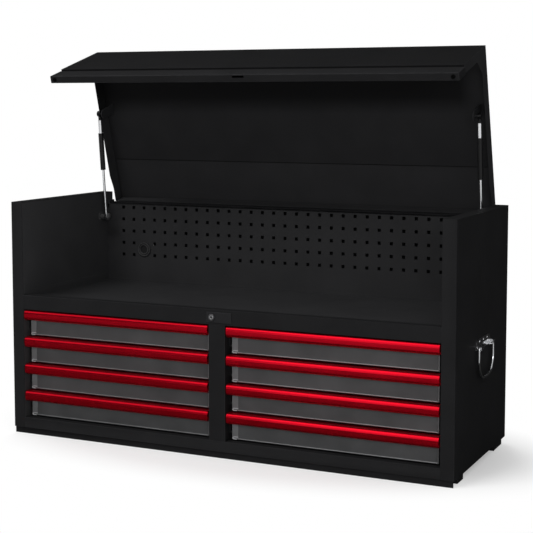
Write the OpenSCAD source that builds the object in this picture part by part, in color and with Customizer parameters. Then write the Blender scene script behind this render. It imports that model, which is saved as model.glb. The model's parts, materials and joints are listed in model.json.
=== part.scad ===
// Tool chest with a lifting lid on gas struts, two banks of drawers on
// telescopic slides and a pegboard across the back of the upper tray.
// Millimetres. +Z is up and the front faces -Y. The origin lies on the
// ground under the middle of the chest with its lid open.

/* [Carcass] */
// Width across the outer faces of the side panels
body_w = 1350; // [1200:10:1500]
// Depth of the side panels
body_d = 500; // [480:5:560]
// Height of the side panels' top edge above the ground
body_h = 685; // [670:5:760]
// Height of the side panels' lower edge above the ground
ground_gap = 18; // [12:1:26]
// Thickness of the carcass sheet
sheet = 1.2; // [0.8:0.1:1.6]
// Outer radius of the side panels' folded corners
fold_r = 3; // [2:0.5:5]
// Width of the side panels' folded front, top and rear edges
post_w = 38; // [32:1:46]
// Width of the post between the two drawer banks
centre_post_w = 50; // [44:1:64]
// Height of the rail under the drawers
lower_rail_h = 30; // [22:1:40]
// Height of the rail above the drawers
top_rail_h = 42; // [38:1:56]
// How far the rails' folded edges reach back
rail_fold = 28; // [24:1:34]
// How far the skirts and feet stand in from the outer faces
skirt_inset = 3; // [2:0.5:6]
// Depth of the rear cross skirt behind the front faces
rear_skirt_y = 392; // [340:1:394]
// Drop from the side panels' top edge to the back panel's
back_drop = 37; // [32:1:44]

/* [Tray and pegboard] */
// Drop from the top rail to the tray floor
tray_drop = 12; // [6:1:24]
// How far the pegboard stands ahead of the chest's rear face
peg_setback = 30; // [24:1:40]
// Spacing of the pegboard's holes
peg_pitch = 38; // [32:1:44]
// Side of a square peg hole
peg_hole = 10; // [6:0.5:14]
// Least plain strip at each end of the pegboard
peg_end_margin = 57; // [40:1:70]
// Top edge of the pegboard to the first row of holes
peg_top_margin = 10; // [9:0.1:18]
// How far the pattern of holes lies to the left of the middle
peg_shift = 6.5; // [0:0.5:12]
// Least plain strip at the foot of the pegboard
peg_foot_margin = 80; // [60:1:90]
// Columns of holes between the pegboard's left end and the cable grommet
grommet_in = 2; // [1:1:6]
// Rows of holes from the lowest one up to the cable grommet
grommet_up = 0.5; // [0.5:1:2.5]
// Diameter of the grommet's rim
grommet_rim_d = 47; // [44:0.5:52]
// Diameter of the hole that the grommet sits in
grommet_hole_d = 40; // [36:0.5:42]
// Diameter of the recess in the grommet
grommet_recess_d = 33; // [26:0.5:34]
// Thickness of the web that closes the grommet
grommet_web_t = 2; // [1:0.5:3]
// Thickness of the grommet's rim
grommet_rim_t = 3; // [2:0.5:5]

/* [Feet] */
// Length of a front foot
front_foot_len = 50; // [40:1:70]
// Front faces to the front feet
front_foot_y = 42; // [20:1:60]
// Length of a rear foot
rear_foot_len = 80; // [60:1:84]
// Width of a foot
foot_w = 30; // [20:1:34]

/* [Lid] */
// Thickness of the lid sheet
lid_sheet = 1.2; // [0.8:0.1:1.6]
// Gap between the lid and the inner wall on each side
lid_gap = 9; // [6:0.5:12]
// Height of the closed lid above the side panels' top edge
lid_proud = 2; // [0:0.5:5]
// Front faces to the closed lid's front
lid_setback = 12.5; // [8:0.5:16]
// Depth of the lid's side flanges along its top plate
lid_flange = 45; // [40:1:60]
// Depth of the lid's side flanges along its front skirt
skirt_flange = 25; // [15:1:40]
// Angle by which the lid opens
lid_open = 74; // [60:1:85]
// Height of the lip along the skirt's free edge
lip_h = 60; // [40:1:80]
// Thickness of the lip
lip_t = 22; // [18:1:30]
// How far the lip stands in from the skirt's outer face
lip_step = 5; // [2:0.5:7]
// Gap between the lip and the inner wall on each side
lip_gap = 6; // [3:0.5:9]
// Gap between the closed lip and the top rail
lip_clear = 3; // [2:0.5:6]
// Hinge axis to the front edge of the stiffening plate in the lid
stiffener_len = 135; // [100:1:200]
// Gap between the stiffening plate and the lid's side flanges
stiffener_gap = 8; // [4:1:20]
// Diameter of a lip bumper
bumper_d = 12; // [8:0.5:18]
// Lip's end to a bumper's centre
bumper_end = 16; // [10:1:40]

/* [Hinge] */
// Diameter of the hinge knuckles
knuckle_d = 7; // [6:0.5:9]
// Diameter of the hinge pin
pin_d = 4; // [3:0.5:4.5]
// Thickness of the hinge leaves
leaf_t = 1.2; // [0.8:0.1:1.6]
// Hinge axis to the outer edge of a leaf
leaf_w = 24; // [16:1:30]
// Height of the hinge axis above the back panel
hinge_lift = 2; // [1:0.5:5]
// Knuckle length
knuckle_len = 62; // [40:1:80]
// Lid's end to the hinge's end
hinge_end = 12; // [8:1:40]

/* [Struts] */
// Lid sides to the middle of the struts
strut_in = 11; // [10:0.5:16]
// How far the lower pivots lie ahead of the hinge axis
foot_ahead = 74.5; // [66:0.5:84]
// How far the lower pivots lie below the hinge axis
foot_below = 41; // [36:0.5:50]
// Hinge axis to the upper pivots, along the lid
head_along = 307; // [290:1:320]
// How far the upper pivots lie under the hinge axis, across the lid
head_under = 25; // [20:1:30]
// Diameter of the strut rod
rod_d = 8; // [6:0.5:9]
// Diameter of the strut cylinder
cylinder_d = 16; // [14:0.5:19]
// Wall of the strut cylinder
cylinder_wall = 1.5; // [1:0.1:2]
// Upper pivot to the top of the strut cylinder
neck_len = 62; // [50:1:70]
// Diameter of the sleeve above the strut cylinder
neck_d = 11; // [10:0.5:13]
// Length of the collar between that sleeve and the upper pivot
collar_len = 20; // [14:1:30]
// Thickness of the strut's piston, gland and end cap
gland_t = 6; // [4:0.5:8]
// Diameter of the strut end fittings
eye_d = 18; // [14:0.5:20]
// Thickness of the strut end fittings
eye_t = 10; // [8:0.5:12]
// Diameter of the studs that the struts turn on
stud_d = 8; // [6:0.5:9]
// Diameter of the round boss on the inner wall
boss_d = 30; // [24:1:40]
// Thickness of the boss and of the lid's strut brackets
bracket_t = 2; // [1.5:0.1:3]
// Width of a strut bracket
bracket_w = 30; // [24:1:40]

/* [Drawers] */
// Spacing of the drawers
drawer_pitch = 80; // [76:1:84]
// Spare height over the stack of drawers
stack_spare = 2; // [0:0.5:6]
// Height of a drawer front
face_h = 73; // [68:0.5:74]
// Bottom of the opening to the lowest drawer front
face_lift = 4; // [2:0.5:6]
// How far the drawer fronts stand back from the posts
face_setback = 25; // [22:0.5:27]
// Gap between a drawer front and the posts
face_gap = 10; // [7:0.5:12]
// Thickness of the drawer sheet
drawer_sheet = 1.2; // [0.8:0.1:1.6]
// Height of the hem along the foot of a drawer front
hem_h = 4; // [3:0.5:6]
// Thickness of that hem
hem_t = 3; // [2:0.5:4]
// Length of a drawer's box behind its front
pan_len = 438; // [420:1:440]
// Height of a drawer's sides
pan_h = 58; // [52:1:60]
// Foot of a drawer front to the drawer's floor
pan_lift = 3; // [2:0.5:6]

/* [Drawer pulls] */
// Height of a pull
pull_h = 30; // [26:0.5:33]
// How far a pull rises above its drawer's front
pull_rise = 3; // [0:0.5:4]
// How far a pull stands proud of the posts
pull_proud = 2; // [0:0.5:6]
// Wall of a pull
pull_wall = 3; // [2:0.5:4]
// Radius of a pull's upper front corner
pull_top_r = 11; // [8:0.5:14]
// Radius of a pull's lower front corner
pull_foot_r = 9; // [6:0.5:10]
// Gap between the end of a pull and the posts
pull_gap = 4; // [2:0.5:6]

/* [Slides] */
// Room for a slide beside the drawer
slide_w = 13; // [12:0.5:15]
// Height of a slide's outer member
slide_h = 35; // [30:1:45]
// Thickness of the slide members
slide_t = 1.2; // [0.8:0.1:1.4]
// Gap between slide members
slide_gap = 0.4; // [0.3:0.05:0.5]
// Reach of the outer member's lips
outer_lip = 6; // [4:0.5:8]
// Reach of the middle member's lips
middle_lip = 9; // [8:0.5:10.5]
// Length of a slide member
slide_len = 430; // [400:1:436]
// Front faces to the front end of the slides
slide_y = 28; // [27:0.5:34]
// Drawer's floor to the middle of its slides
slide_lift = 30; // [26:0.5:32]

/* [Lock] */
// Length of the lock plate
lock_plate_w = 75; // [60:1:90]
// Height of the lock plate
lock_plate_h = 28; // [24:1:32]
// Thickness of the lock plate
lock_plate_t = 2; // [1:0.1:3]
// Left end of the lock plate to the middle of the lock
lock_end = 16; // [14:0.5:24]
// Middle of the chest to the middle of the lock
lock_x = -14; // [-40:1:40]
// Diameter of the lock's face
lock_face_d = 18; // [17:0.5:24]
// Thickness of the lock's face
lock_face_t = 3; // [2:0.5:5]
// Diameter of the lock's barrel
lock_barrel_d = 16; // [12:0.5:16.5]
// Front faces to the rear end of the barrel
lock_depth = 25; // [24.5:0.1:26]
// Width of the lock's cam
cam_w = 10; // [6:0.5:12]
// Thickness of the lock's cam
cam_t = 2; // [1.5:0.1:3]
// Reach of the cam from the lock's axis
cam_reach = 26; // [25:0.5:30]
// Width of the keyway
keyway_w = 1.6; // [1:0.1:2.5]
// Length of the keyway
keyway_len = 9; // [6:0.5:12]

/* [Side handles] */
// Length of a handle plate
handle_plate_l = 130; // [120:1:150]
// Height of a handle plate
handle_plate_h = 30; // [26:1:50]
// Thickness of a handle plate
handle_plate_t = 2; // [1.5:0.1:3]
// Height of the bail's pivot above the ground
bail_z = 328; // [300:1:360]
// How far the pivot stands out from the plate
bail_out = 8; // [7.5:0.1:11]
// Diameter of the handle's bail rod
bail_d = 8; // [6:0.5:9]
// Outer diameter of the ears that hold the bail
ear_d = 14; // [13:0.5:14.8]
// Length of an ear
ear_len = 16; // [10:0.5:24]
// Width of the bail, between its arms' centres
bail_w = 138; // [124:1:150]
// Pivot to the foot of the bail, along the rod's middle
bail_drop = 84; // [76:1:96]
// Radius of the bail's bends, along the rod's middle
bail_r = 50; // [36:1:58]

/* [Fits] */
// Radial clearance of a running fit
running = 0.05; // [0.02:0.01:0.09]
// Gap between parts that pass each other
clear = 0.4; // [0.3:0.05:0.6]
// Gap where a moving part comes to rest
seat = 0.3; // [0.2:0.05:0.5]

/* [Hidden] */
$fn = 48;
ROWS = [1, 2, 3, 4];
SIDES = ["left", "right"];
DRAWER_PIECES = ["pan", "pull", "runners", "middle"];
// Over-cut that keeps a cut clear of the faces it passes through
cut = 1;

// Carcass
half_w = body_w / 2;
inner_half = half_w - post_w;
floor_z = ground_gap + sheet;
open_z0 = ground_gap + lower_rail_h;
open_z1 = open_z0 + len(ROWS) * drawer_pitch + stack_spare;
rail_top = open_z1 + top_rail_h;
back_top = body_h - back_drop;
back_face = body_d - sheet;
centre_half = centre_post_w / 2;

// Tray and pegboard
tray_z = rail_top - tray_drop;
peg_y = body_d - peg_setback;
peg_cols = floor((inner_half - peg_end_margin) / peg_pitch);
peg_z0 = back_top - peg_top_margin;
last_row = floor((peg_z0 - tray_z - peg_foot_margin) / peg_pitch);
grommet_col = grommet_in - peg_cols;
grommet_row = last_row - grommet_up;
grommet_x = grommet_col * peg_pitch - peg_shift;
grommet_z = peg_z0 - grommet_row * peg_pitch;
foot_half = half_w - skirt_inset;

// Lid, given as it lies closed
lid_half = inner_half - lid_gap;
lip_half = inner_half - lip_gap;
lid_top = body_h + lid_proud;
lip_z0 = rail_top + lip_clear;
lip_z1 = lip_z0 + lip_h;
lip_y0 = lid_setback + lip_step;
lip_y1 = lip_y0 + lip_t;
bumper_h = lip_clear - seat;

// Hinge
knuckle_r = knuckle_d / 2;
hinge_y = body_d + knuckle_r;
hinge_z = back_top + hinge_lift;
hinge_half = lid_half - hinge_end;
knuckles = 2 * floor(hinge_half / knuckle_len) + 1;
knuckle_step = 2 * hinge_half / knuckles;
lid_flange_rear = hinge_z + hinge_lift;

// Where a point of the lid lies, as [y, z], with the lid opened by an angle
function lid_point(along, above, angle) = [
    hinge_y - along * cos(angle) + above * sin(angle),
    hinge_z + along * sin(angle) + above * cos(angle)
];

// Struts
strut_x = lid_half - strut_in;
foot_y = hinge_y - foot_ahead;
foot_z = hinge_z - foot_below;
head_open = lid_point(head_along, -head_under, lid_open);
head_closed = lid_point(head_along, -head_under, 0);
strut_open_len = norm(head_open - [foot_y, foot_z]);
strut_closed_len = norm(head_closed - [foot_y, foot_z]);
strut_stroke = strut_open_len - strut_closed_len;
strut_lean = atan2(foot_y - head_open[0], head_open[1] - foot_z);
cylinder_len = strut_stroke + 3 * gland_t + 2 * clear;
cylinder_top = strut_open_len - neck_len;
cylinder_foot = cylinder_top - cylinder_len;
cylinder_bore = cylinder_d - 2 * cylinder_wall;
piston_foot = cylinder_foot + gland_t + clear;
collar_d = eye_t - 2 * clear;

// Drawers
bank_w = inner_half - centre_half;
bank_mid = (inner_half + centre_half) / 2;
face_half = bank_w / 2 - face_gap;
pan_half = bank_w / 2 - slide_w;
pull_half = bank_w / 2 - pull_gap;
pan_y0 = face_setback + drawer_sheet;
pan_y1 = pan_y0 + pan_len;
pull_d = face_setback + pull_proud;
outer_half = slide_h / 2;
middle_half = outer_half - slide_t - slide_gap;
inner_member_half = middle_half - slide_t - slide_gap;
middle_web = slide_t + slide_gap;
inner_lip = middle_web + slide_t + slide_gap;

// Lock
lock_z = open_z1 + top_rail_h / 2;
lock_plate_x0 = lock_x - lock_end;
cam_y1 = lock_depth;
cam_y0 = cam_y1 - cam_t;
lock_face_back = -lock_plate_t - seat;
lock_face_front = lock_face_back - lock_face_t;

// Side handles
handle_y = body_d / 2;
bail_x = half_w + handle_plate_t + bail_out;
ear_y = bail_w / 2 - bail_d / 2 - clear - ear_len;
plate_round = handle_plate_h / 2;

// The chest's front faces stand at y = 0 while it is drawn
front_reach = min(-pull_proud, lock_face_front);
rear_reach = lid_point(knuckle_r, lid_top - hinge_z, lid_open)[0];
middle_y = (front_reach + rear_reach) / 2;

CARCASS_NODES = [
    "left_side_panel", "right_side_panel", "inner_walls", "back_panel",
    "base_pan", "front_top_rail", "centre_divider", "tray_floor", "pegboard",
    "cable_grommet", "feet", "slide_rails", "hinge_body_leaf", "hinge_pin",
    "strut_studs", "handle_plates", "lock_plate", "lock_barrel"
];
LID_NODES = [
    "lid_shell", "lid_lip", "lid_stiffener", "lid_bumpers", "hinge_lid_leaf",
    "strut_brackets", "strut_rods", "strut_cylinders"
];
HANDLE_NODES = [for (side = SIDES) str(side, "_handle_bail")];
DRAWER_NODES = [
    for (side = SIDES, row = ROWS, piece = DRAWER_PIECES)
        drawer_node(side, row, piece)
];

function drawer_node(side, row, piece) = str(side, "_drawer_", row, "_", piece);
function face_z(row) = open_z0 + face_lift + (len(ROWS) - row) * drawer_pitch;
function slide_z(row) = face_z(row) + pan_lift + slide_lift;

// Shared shapes

// A box between two corners, given in any order
module block(a, b) {
    low = [for (i = [0:2]) min(a[i], b[i])];
    high = [for (i = [0:2]) max(a[i], b[i])];
    translate(low) cube(high - low);
}

// Moves what is drawn from the front faces to the chest's own origin
module place() {
    translate([0, -middle_y, 0]) children();
}

// Draws a piece on the right and its mirror image on the left
module both_sides() {
    children();
    mirror([1, 0, 0]) children();
}

// Swings a piece of the closed lid to the open pose
module open_lid() {
    translate([0, hinge_y, hinge_z])
        rotate([-lid_open, 0, 0])
            translate([0, -hinge_y, -hinge_z]) children();
}

// A cylinder along X between two x values
module rod_x(x0, x1, d) {
    translate([min(x0, x1), 0, 0]) rotate([0, 90, 0]) cylinder(h = abs(x1 - x0), d = d);
}

// A cylinder along Y between two y values
module rod_y(y0, y1, d) {
    translate([0, min(y0, y1), 0]) rotate([-90, 0, 0]) cylinder(h = abs(y1 - y0), d = d);
}

// A flat outline in y and z, given a thickness along X
module plate_x(x0, x1) {
    translate([min(x0, x1), 0, 0])
        rotate([90, 0, 90]) linear_extrude(height = abs(x1 - x0)) children();
}

// A rectangle from the origin with both corners at its far x end rounded
module end_rounded(w, d, r) {
    square([w - r, d]);
    translate([0, r]) square([w, d - 2 * r]);
    translate([w - r, r]) circle(r);
    translate([w - r, d - r]) circle(r);
}

// A C channel that lies along Y, from its web's back to its lips' edge
module channel_y(x_web, x_lip, half, z, y0, y1, t) {
    way = sign(x_lip - x_web);
    difference() {
        block([x_web, y0, z - half], [x_lip, y1, z + half]);
        block(
            [x_web + way * t, y0 - cut, z - half + t],
            [x_lip + way * cut, y1 + cut, z + half - t]
        );
    }
}

// Carcass

// The folded outline of a side panel seen from above
module side_section() {
    difference() {
        end_rounded(post_w, body_d, fold_r);
        translate([-sheet, sheet]) end_rounded(post_w, body_d - 2 * sheet, fold_r - sheet);
    }
}

// An outer side panel with its folded front, rear and top edges
module side_panel() {
    translate([inner_half, 0, ground_gap])
        linear_extrude(height = body_h - ground_gap) side_section();
    translate([inner_half, 0, body_h - sheet])
        linear_extrude(height = sheet) end_rounded(post_w, body_d, fold_r);
}

module left_side_panel() {
    color("#1e1e20") place() mirror([1, 0, 0]) side_panel();
}

module right_side_panel() {
    color("#1e1e20") place() side_panel();
}

// The flat inner skins that make each side a double wall
module inner_walls() {
    color("#242427") place() both_sides()
        block([inner_half, sheet, floor_z], [inner_half + sheet, back_face, body_h - sheet]);
}

// The rear skin, folded forward over the pegboard, with the cable outlet
module back_panel() {
    color("#1e1e20") place() {
        difference() {
            block([-inner_half, back_face, ground_gap], [inner_half, body_d, back_top]);
            translate([grommet_x, 0, grommet_z]) rod_y(back_face - cut, body_d + cut, grommet_hole_d);
        }
        block([-inner_half, peg_y - sheet, back_top - sheet], [inner_half, body_d, back_top]);
    }
}

// The chest's floor with the rail under the drawers and the cross skirts
module base_pan() {
    color("#1e1e20") place() {
        block([-half_w + fold_r, sheet, ground_gap], [half_w - fold_r, back_face, floor_z]);
        block([-inner_half, 0, ground_gap], [inner_half, sheet, open_z0]);
        block([-inner_half, 0, open_z0 - sheet], [inner_half, rail_fold, open_z0]);
        for (y = [skirt_inset, rear_skirt_y])
            block([-foot_half, y, 0], [foot_half, y + sheet, ground_gap]);
    }
}

// The rail above the drawers, folded back at both edges
module front_top_rail() {
    color("#242427") place() difference() {
        block([-inner_half, 0, open_z1], [inner_half, rail_fold, rail_top]);
        block(
            [-inner_half - cut, sheet, open_z1 + sheet],
            [inner_half + cut, rail_fold + cut, rail_top - sheet]
        );
        translate([lock_x, 0, lock_z]) rod_y(-cut, 2 * sheet, lock_barrel_d + 2 * running);
        cam_slot(rail_top - 2 * sheet, rail_top + cut);
    }
}

// The slot that the turned cam passes through, between two heights
module cam_slot(z0, z1) {
    block([lock_x - cam_w, cam_y0 - cam_t, z0], [lock_x + cam_reach, cam_y1 + cam_t, z1]);
}

// The post between the drawer banks and the two partitions behind it
module centre_divider() {
    color("#242427") place() {
        block([-centre_half, 0, open_z0], [centre_half, sheet, open_z1]);
        for (x = [-centre_half, centre_half - sheet]) {
            block([x, 0, open_z0], [x + sheet, rail_fold + sheet, open_z1]);
            block([x, rail_fold + sheet, floor_z], [x + sheet, back_face, tray_z - sheet]);
        }
    }
}

// The floor of the upper tray, turned up behind the top rail
module tray_floor() {
    color("#2a2a2e") place() {
        block([-inner_half, rail_fold, tray_z - sheet], [inner_half, back_face, tray_z]);
        block([-inner_half, rail_fold, tray_z - sheet], [inner_half, rail_fold + sheet, rail_top]);
    }
}

// The pegboard's holes, drawn as squares, without those under the grommet
module peg_pattern() {
    keep_off = (grommet_rim_d + peg_hole) / 2;
    for (col = [-peg_cols:peg_cols], row = [0:last_row])
        if (col != grommet_col || abs(row - grommet_row) * peg_pitch > keep_off)
            translate([col * peg_pitch - peg_shift, peg_z0 - row * peg_pitch])
                square(peg_hole, center = true);
}

// The perforated board across the back of the tray, under the rear panel's fold
module pegboard() {
    peg_h = back_top - sheet - tray_z;
    color("#2a2a2e") place() translate([0, peg_y, 0]) rotate([90, 0, 0])
        linear_extrude(height = sheet) difference() {
            translate([-inner_half, tray_z]) square([2 * inner_half, peg_h]);
            peg_pattern();
            translate([grommet_x, grommet_z]) circle(d = grommet_hole_d);
        }
}

// The plug that closes the cable outlet in the pegboard, a ring round a thin web
module cable_grommet() {
    color("#101011") place() translate([grommet_x, peg_y, grommet_z]) difference() {
        union() {
            rod_y(-sheet, grommet_rim_t, grommet_hole_d);
            rod_y(-sheet - grommet_rim_t, -sheet, grommet_rim_d);
        }
        rod_y(-sheet - grommet_rim_t - cut, -sheet, grommet_recess_d);
        rod_y(-sheet + grommet_web_t, grommet_rim_t + cut, grommet_recess_d);
    }
}

// Feet under the four corners
module feet() {
    color("#161617") place() both_sides() translate([foot_half - foot_w, 0, 0]) {
        translate([0, front_foot_y, 0]) cube([foot_w, front_foot_len, ground_gap]);
        translate([0, rear_skirt_y + sheet, 0]) cube([foot_w, rear_foot_len, ground_gap]);
    }
}

// Hinge

// Which knuckles belong to the chest, the others being the lid's
function on_body(i) = i % 2 == 0;

// One hinge leaf drawn pointing up from the axis, with its own knuckles
module hinge_leaf(own, bore_d) {
    difference() {
        union() {
            block([-hinge_half, 0, knuckle_r + clear], [hinge_half, leaf_t, leaf_w]);
            for (i = [0:knuckles - 1])
                if (on_body(i) == own)
                    translate([-hinge_half + i * knuckle_step, 0, 0]) knuckle();
        }
        translate([0, knuckle_r, 0]) rod_x(-hinge_half - cut, hinge_half + cut, bore_d);
    }
}

// A knuckle and the tab that joins it to its leaf
module knuckle() {
    translate([0, knuckle_r, 0]) rod_x(clear / 2, knuckle_step - clear / 2, knuckle_d);
    block([clear / 2, 0, 0], [knuckle_step - clear / 2, leaf_t, knuckle_r + 2 * clear]);
}

module hinge_body_leaf() {
    color("#2b2b2e") place() translate([0, body_d, hinge_z])
        mirror([0, 0, 1]) hinge_leaf(true, pin_d);
}

module hinge_lid_leaf() {
    color("#2b2b2e") place() open_lid() translate([0, body_d, hinge_z])
        hinge_leaf(false, pin_d + 2 * running);
}

module hinge_pin() {
    color("#8d8f92") place() translate([0, hinge_y, hinge_z]) rod_x(-hinge_half, hinge_half, pin_d);
}

// Lid

// The outline of a lid side flange, along the top plate and down the skirt
module flange_outline() {
    polygon([
        [lid_setback, lip_z1],
        [lid_setback, lid_top],
        [body_d, lid_top],
        [body_d, lid_flange_rear],
        [body_d - lid_flange, lid_flange_rear],
        [body_d - 2 * lid_flange, lid_top - lid_flange],
        [lid_setback + skirt_flange + lid_flange, lid_top - lid_flange],
        [lid_setback + skirt_flange, lid_top - 2 * lid_flange],
        [lid_setback + skirt_flange, lip_z1]
    ]);
}

// The folded pan of the lid: top plate, front skirt, rear and side flanges
module lid_shell() {
    color("#2f2f33") place() open_lid() {
        block([-lid_half, lid_setback, lid_top - lid_sheet], [lid_half, body_d, lid_top]);
        block([-lid_half, lid_setback, lip_z1], [lid_half, lid_setback + lid_sheet, lid_top]);
        block([-lid_half, lid_setback, lip_z1], [lid_half, lip_y1, lip_z1 + lid_sheet]);
        block([-lid_half, body_d - lid_sheet, lid_flange_rear], [lid_half, body_d, lid_top]);
        both_sides() plate_x(lid_half - lid_sheet, lid_half) flange_outline();
    }
}

// The box-section lip along the skirt's free edge, with the cam's slot
module lid_lip() {
    color("#3a3a3e") place() open_lid() difference() {
        block([-lip_half, lip_y0, lip_z0], [lip_half, lip_y1, lip_z1]);
        block(
            [-lip_half + lid_sheet, lip_y0 + lid_sheet, lip_z0 + lid_sheet],
            [lip_half - lid_sheet, lip_y1 - lid_sheet, lip_z1 - lid_sheet]
        );
        cam_slot(lip_z0 - cut, lip_z0 + 2 * lid_sheet);
    }
}

// The doubling plate that stiffens the lid along its hinge
module lid_stiffener() {
    half = lid_half - lid_sheet - stiffener_gap;
    under = lid_top - lid_sheet;
    color("#2f2f33") place() open_lid()
        block([-half, hinge_y - stiffener_len, under - lid_sheet], [half, body_d - lid_sheet, under]);
}

// Rubber buttons under the lip, which meet the top rail
module lid_bumpers() {
    color("#0c0c0c") place() open_lid() both_sides()
        translate([lip_half - bumper_end, (lip_y0 + lip_y1) / 2, lip_z0 - bumper_h])
            cylinder(h = bumper_h, d = bumper_d);
}

// Struts

// A round boss on the inner wall with the stud that a strut's eye turns on
module strut_stud() {
    shoulder = strut_x + eye_t / 2 + clear;
    tip = strut_x - eye_t / 2 - clear;
    translate([0, foot_y, foot_z]) {
        rod_x(inner_half - bracket_t, inner_half, boss_d);
        rod_x(shoulder, inner_half - bracket_t, stud_d + 2 * bracket_t);
        rod_x(tip, shoulder, stud_d);
        rod_x(tip - bracket_t, tip, stud_d + 2 * bracket_t);
    }
}

module strut_studs() {
    color("#9a9c9f") place() both_sides() strut_stud();
}

// The bracket under the lid with the stud for the strut's upper end
module strut_bracket() {
    head_y = hinge_y - head_along;
    head_z = hinge_z - head_under;
    under = lid_top - lid_sheet;
    socket = strut_x - eye_t / 2;
    web = socket - eye_t - bracket_t;
    block([web, head_y - bracket_w / 2, under - bracket_t], [socket, head_y + bracket_w / 2, under]);
    block([web, head_y - bracket_w / 2, head_z], [web + bracket_t, head_y + bracket_w / 2, under]);
    translate([0, head_y, head_z]) {
        rod_x(web, web + bracket_t, bracket_w);
        rod_x(web, socket - seat, stud_d);
    }
}

module strut_brackets() {
    color("#17181a") place() open_lid() both_sides() strut_bracket();
}

// Draws a strut piece that stands on the lower pivot and leans to the lid
module along_strut() {
    translate([strut_x, foot_y, foot_z]) rotate([strut_lean, 0, 0]) children();
}

// The lower eye, the rod and the piston on its end
module strut_rod() {
    difference() {
        union() {
            rod_x(-eye_t / 2, eye_t / 2, eye_d);
            cylinder(h = piston_foot + gland_t, d = rod_d);
        }
        rod_x(-eye_t, eye_t, stud_d + 2 * running);
    }
    translate([0, 0, piston_foot]) cylinder(h = gland_t, d = cylinder_bore - 2 * running);
}

module strut_rods() {
    color("#c9cbce") place() both_sides() along_strut() strut_rod();
}

// The cylinder with its gland, sleeve, collar and upper socket
module strut_cylinder() {
    difference() {
        translate([0, 0, cylinder_foot]) cylinder(h = cylinder_len, d = cylinder_d);
        translate([0, 0, cylinder_foot + gland_t])
            cylinder(h = cylinder_len - 2 * gland_t, d = cylinder_bore);
        translate([0, 0, cylinder_foot - cut])
            cylinder(h = gland_t + 2 * cut, d = rod_d + 2 * running);
    }
    translate([0, 0, cylinder_top]) cylinder(h = neck_len - collar_len, d = neck_d);
    translate([0, 0, strut_open_len - collar_len]) cylinder(h = collar_len, d = collar_d);
    translate([0, 0, strut_open_len]) rod_x(-eye_t / 2, eye_t / 2, eye_d);
}

module strut_cylinders() {
    color("#141416") place() both_sides() along_strut() strut_cylinder();
}

// Lock

// The plain plate round the lock on the top rail
module lock_plate() {
    color("#3b3c40") place() difference() {
        block(
            [lock_plate_x0, -lock_plate_t, lock_z - lock_plate_h / 2],
            [lock_plate_x0 + lock_plate_w, 0, lock_z + lock_plate_h / 2]
        );
        translate([lock_x, 0, lock_z]) rod_y(-lock_plate_t - cut, cut, lock_barrel_d + 2 * running);
    }
}

// The barrel with its keyway and the cam that catches the lid's lip
module lock_barrel() {
    color("#b4b6b9") place() translate([lock_x, 0, lock_z]) {
        difference() {
            union() {
                rod_y(lock_face_front, lock_face_back, lock_face_d);
                rod_y(lock_face_back, cam_y0, lock_barrel_d);
            }
            block(
                [-keyway_w / 2, lock_face_front - cut, -keyway_len / 2],
                [keyway_w / 2, lock_face_back, keyway_len / 2]
            );
        }
        block([-cam_w / 2, cam_y0, -cam_w / 2], [cam_reach, cam_y1, cam_w / 2]);
    }
}

// Side handles

// The plate bolted to the side panel, with an ear at each end of the bail
module handle_plate() {
    low = bail_z - ear_d / 2;
    bore_d = bail_d + 2 * running;
    difference() {
        union() {
            plate_x(half_w, half_w + handle_plate_t) translate([handle_y, low]) plate_outline();
            for (end = [-1, 1])
                translate([0, handle_y + end * (ear_y + ear_len / 2), 0]) handle_ear();
        }
        translate([bail_x, handle_y, bail_z]) rod_y(-handle_plate_l, handle_plate_l, bore_d);
    }
}

// The plate's outline from its lower edge up, with a rounded upper edge
module plate_outline() {
    straight = handle_plate_l / 2 - plate_round;
    translate([-handle_plate_l / 2, 0]) square([handle_plate_l, handle_plate_h - plate_round]);
    translate([-straight, 0]) square([2 * straight, handle_plate_h]);
    for (end = [-1, 1])
        translate([end * straight, handle_plate_h - plate_round]) circle(plate_round);
}

// One ear, standing out of the plate round the bail's end
module handle_ear() {
    translate([bail_x, 0, bail_z]) rod_y(-ear_len / 2, ear_len / 2, ear_d);
    block(
        [half_w, -ear_len / 2, bail_z - ear_d / 2],
        [bail_x, ear_len / 2, bail_z + ear_d / 2]
    );
}

module handle_plates() {
    color("#c8cacc") place() both_sides() handle_plate();
}

// A quarter ring of the bail's rod, from its foot to one of its arms
module bail_bend() {
    rotate([90, 0, 90]) rotate([0, 0, -90])
        rotate_extrude(angle = 90) translate([bail_r, 0]) circle(d = bail_d);
}

// The bent rod that hangs from the ears as the handle's bail
module handle_bail() {
    arm_y = bail_w / 2;
    straight = arm_y - bail_r;
    translate([bail_x, handle_y, bail_z]) {
        for (other = [0, 1])
            mirror([0, other, 0]) {
                rod_y(ear_y, arm_y, bail_d);
                translate([0, arm_y, 0]) sphere(d = bail_d);
                translate([0, arm_y, bail_r - bail_drop])
                    cylinder(h = bail_drop - bail_r, d = bail_d);
                translate([0, straight, bail_r - bail_drop]) bail_bend();
            }
        translate([0, 0, -bail_drop]) rod_y(-straight, straight, bail_d);
    }
}

module left_handle_bail() {
    color("#d5d7d9") place() mirror([1, 0, 0]) handle_bail();
}

module right_handle_bail() {
    color("#d5d7d9") place() handle_bail();
}

// Drawers

// Draws a right-hand drawer piece in its bank
module in_bank(side) {
    place() mirror([side == "left" ? 1 : 0, 0, 0]) translate([bank_mid, 0, 0]) children();
}

// The pair of slide members at the two sides of a drawer
module slide_pair(web, lip, half, row) {
    x_web = bank_w / 2 - web;
    x_lip = bank_w / 2 - lip;
    y1 = slide_y + slide_len;
    for (end = [-1, 1])
        channel_y(end * x_web, end * x_lip, half, slide_z(row), slide_y, y1, slide_t);
}

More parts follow.
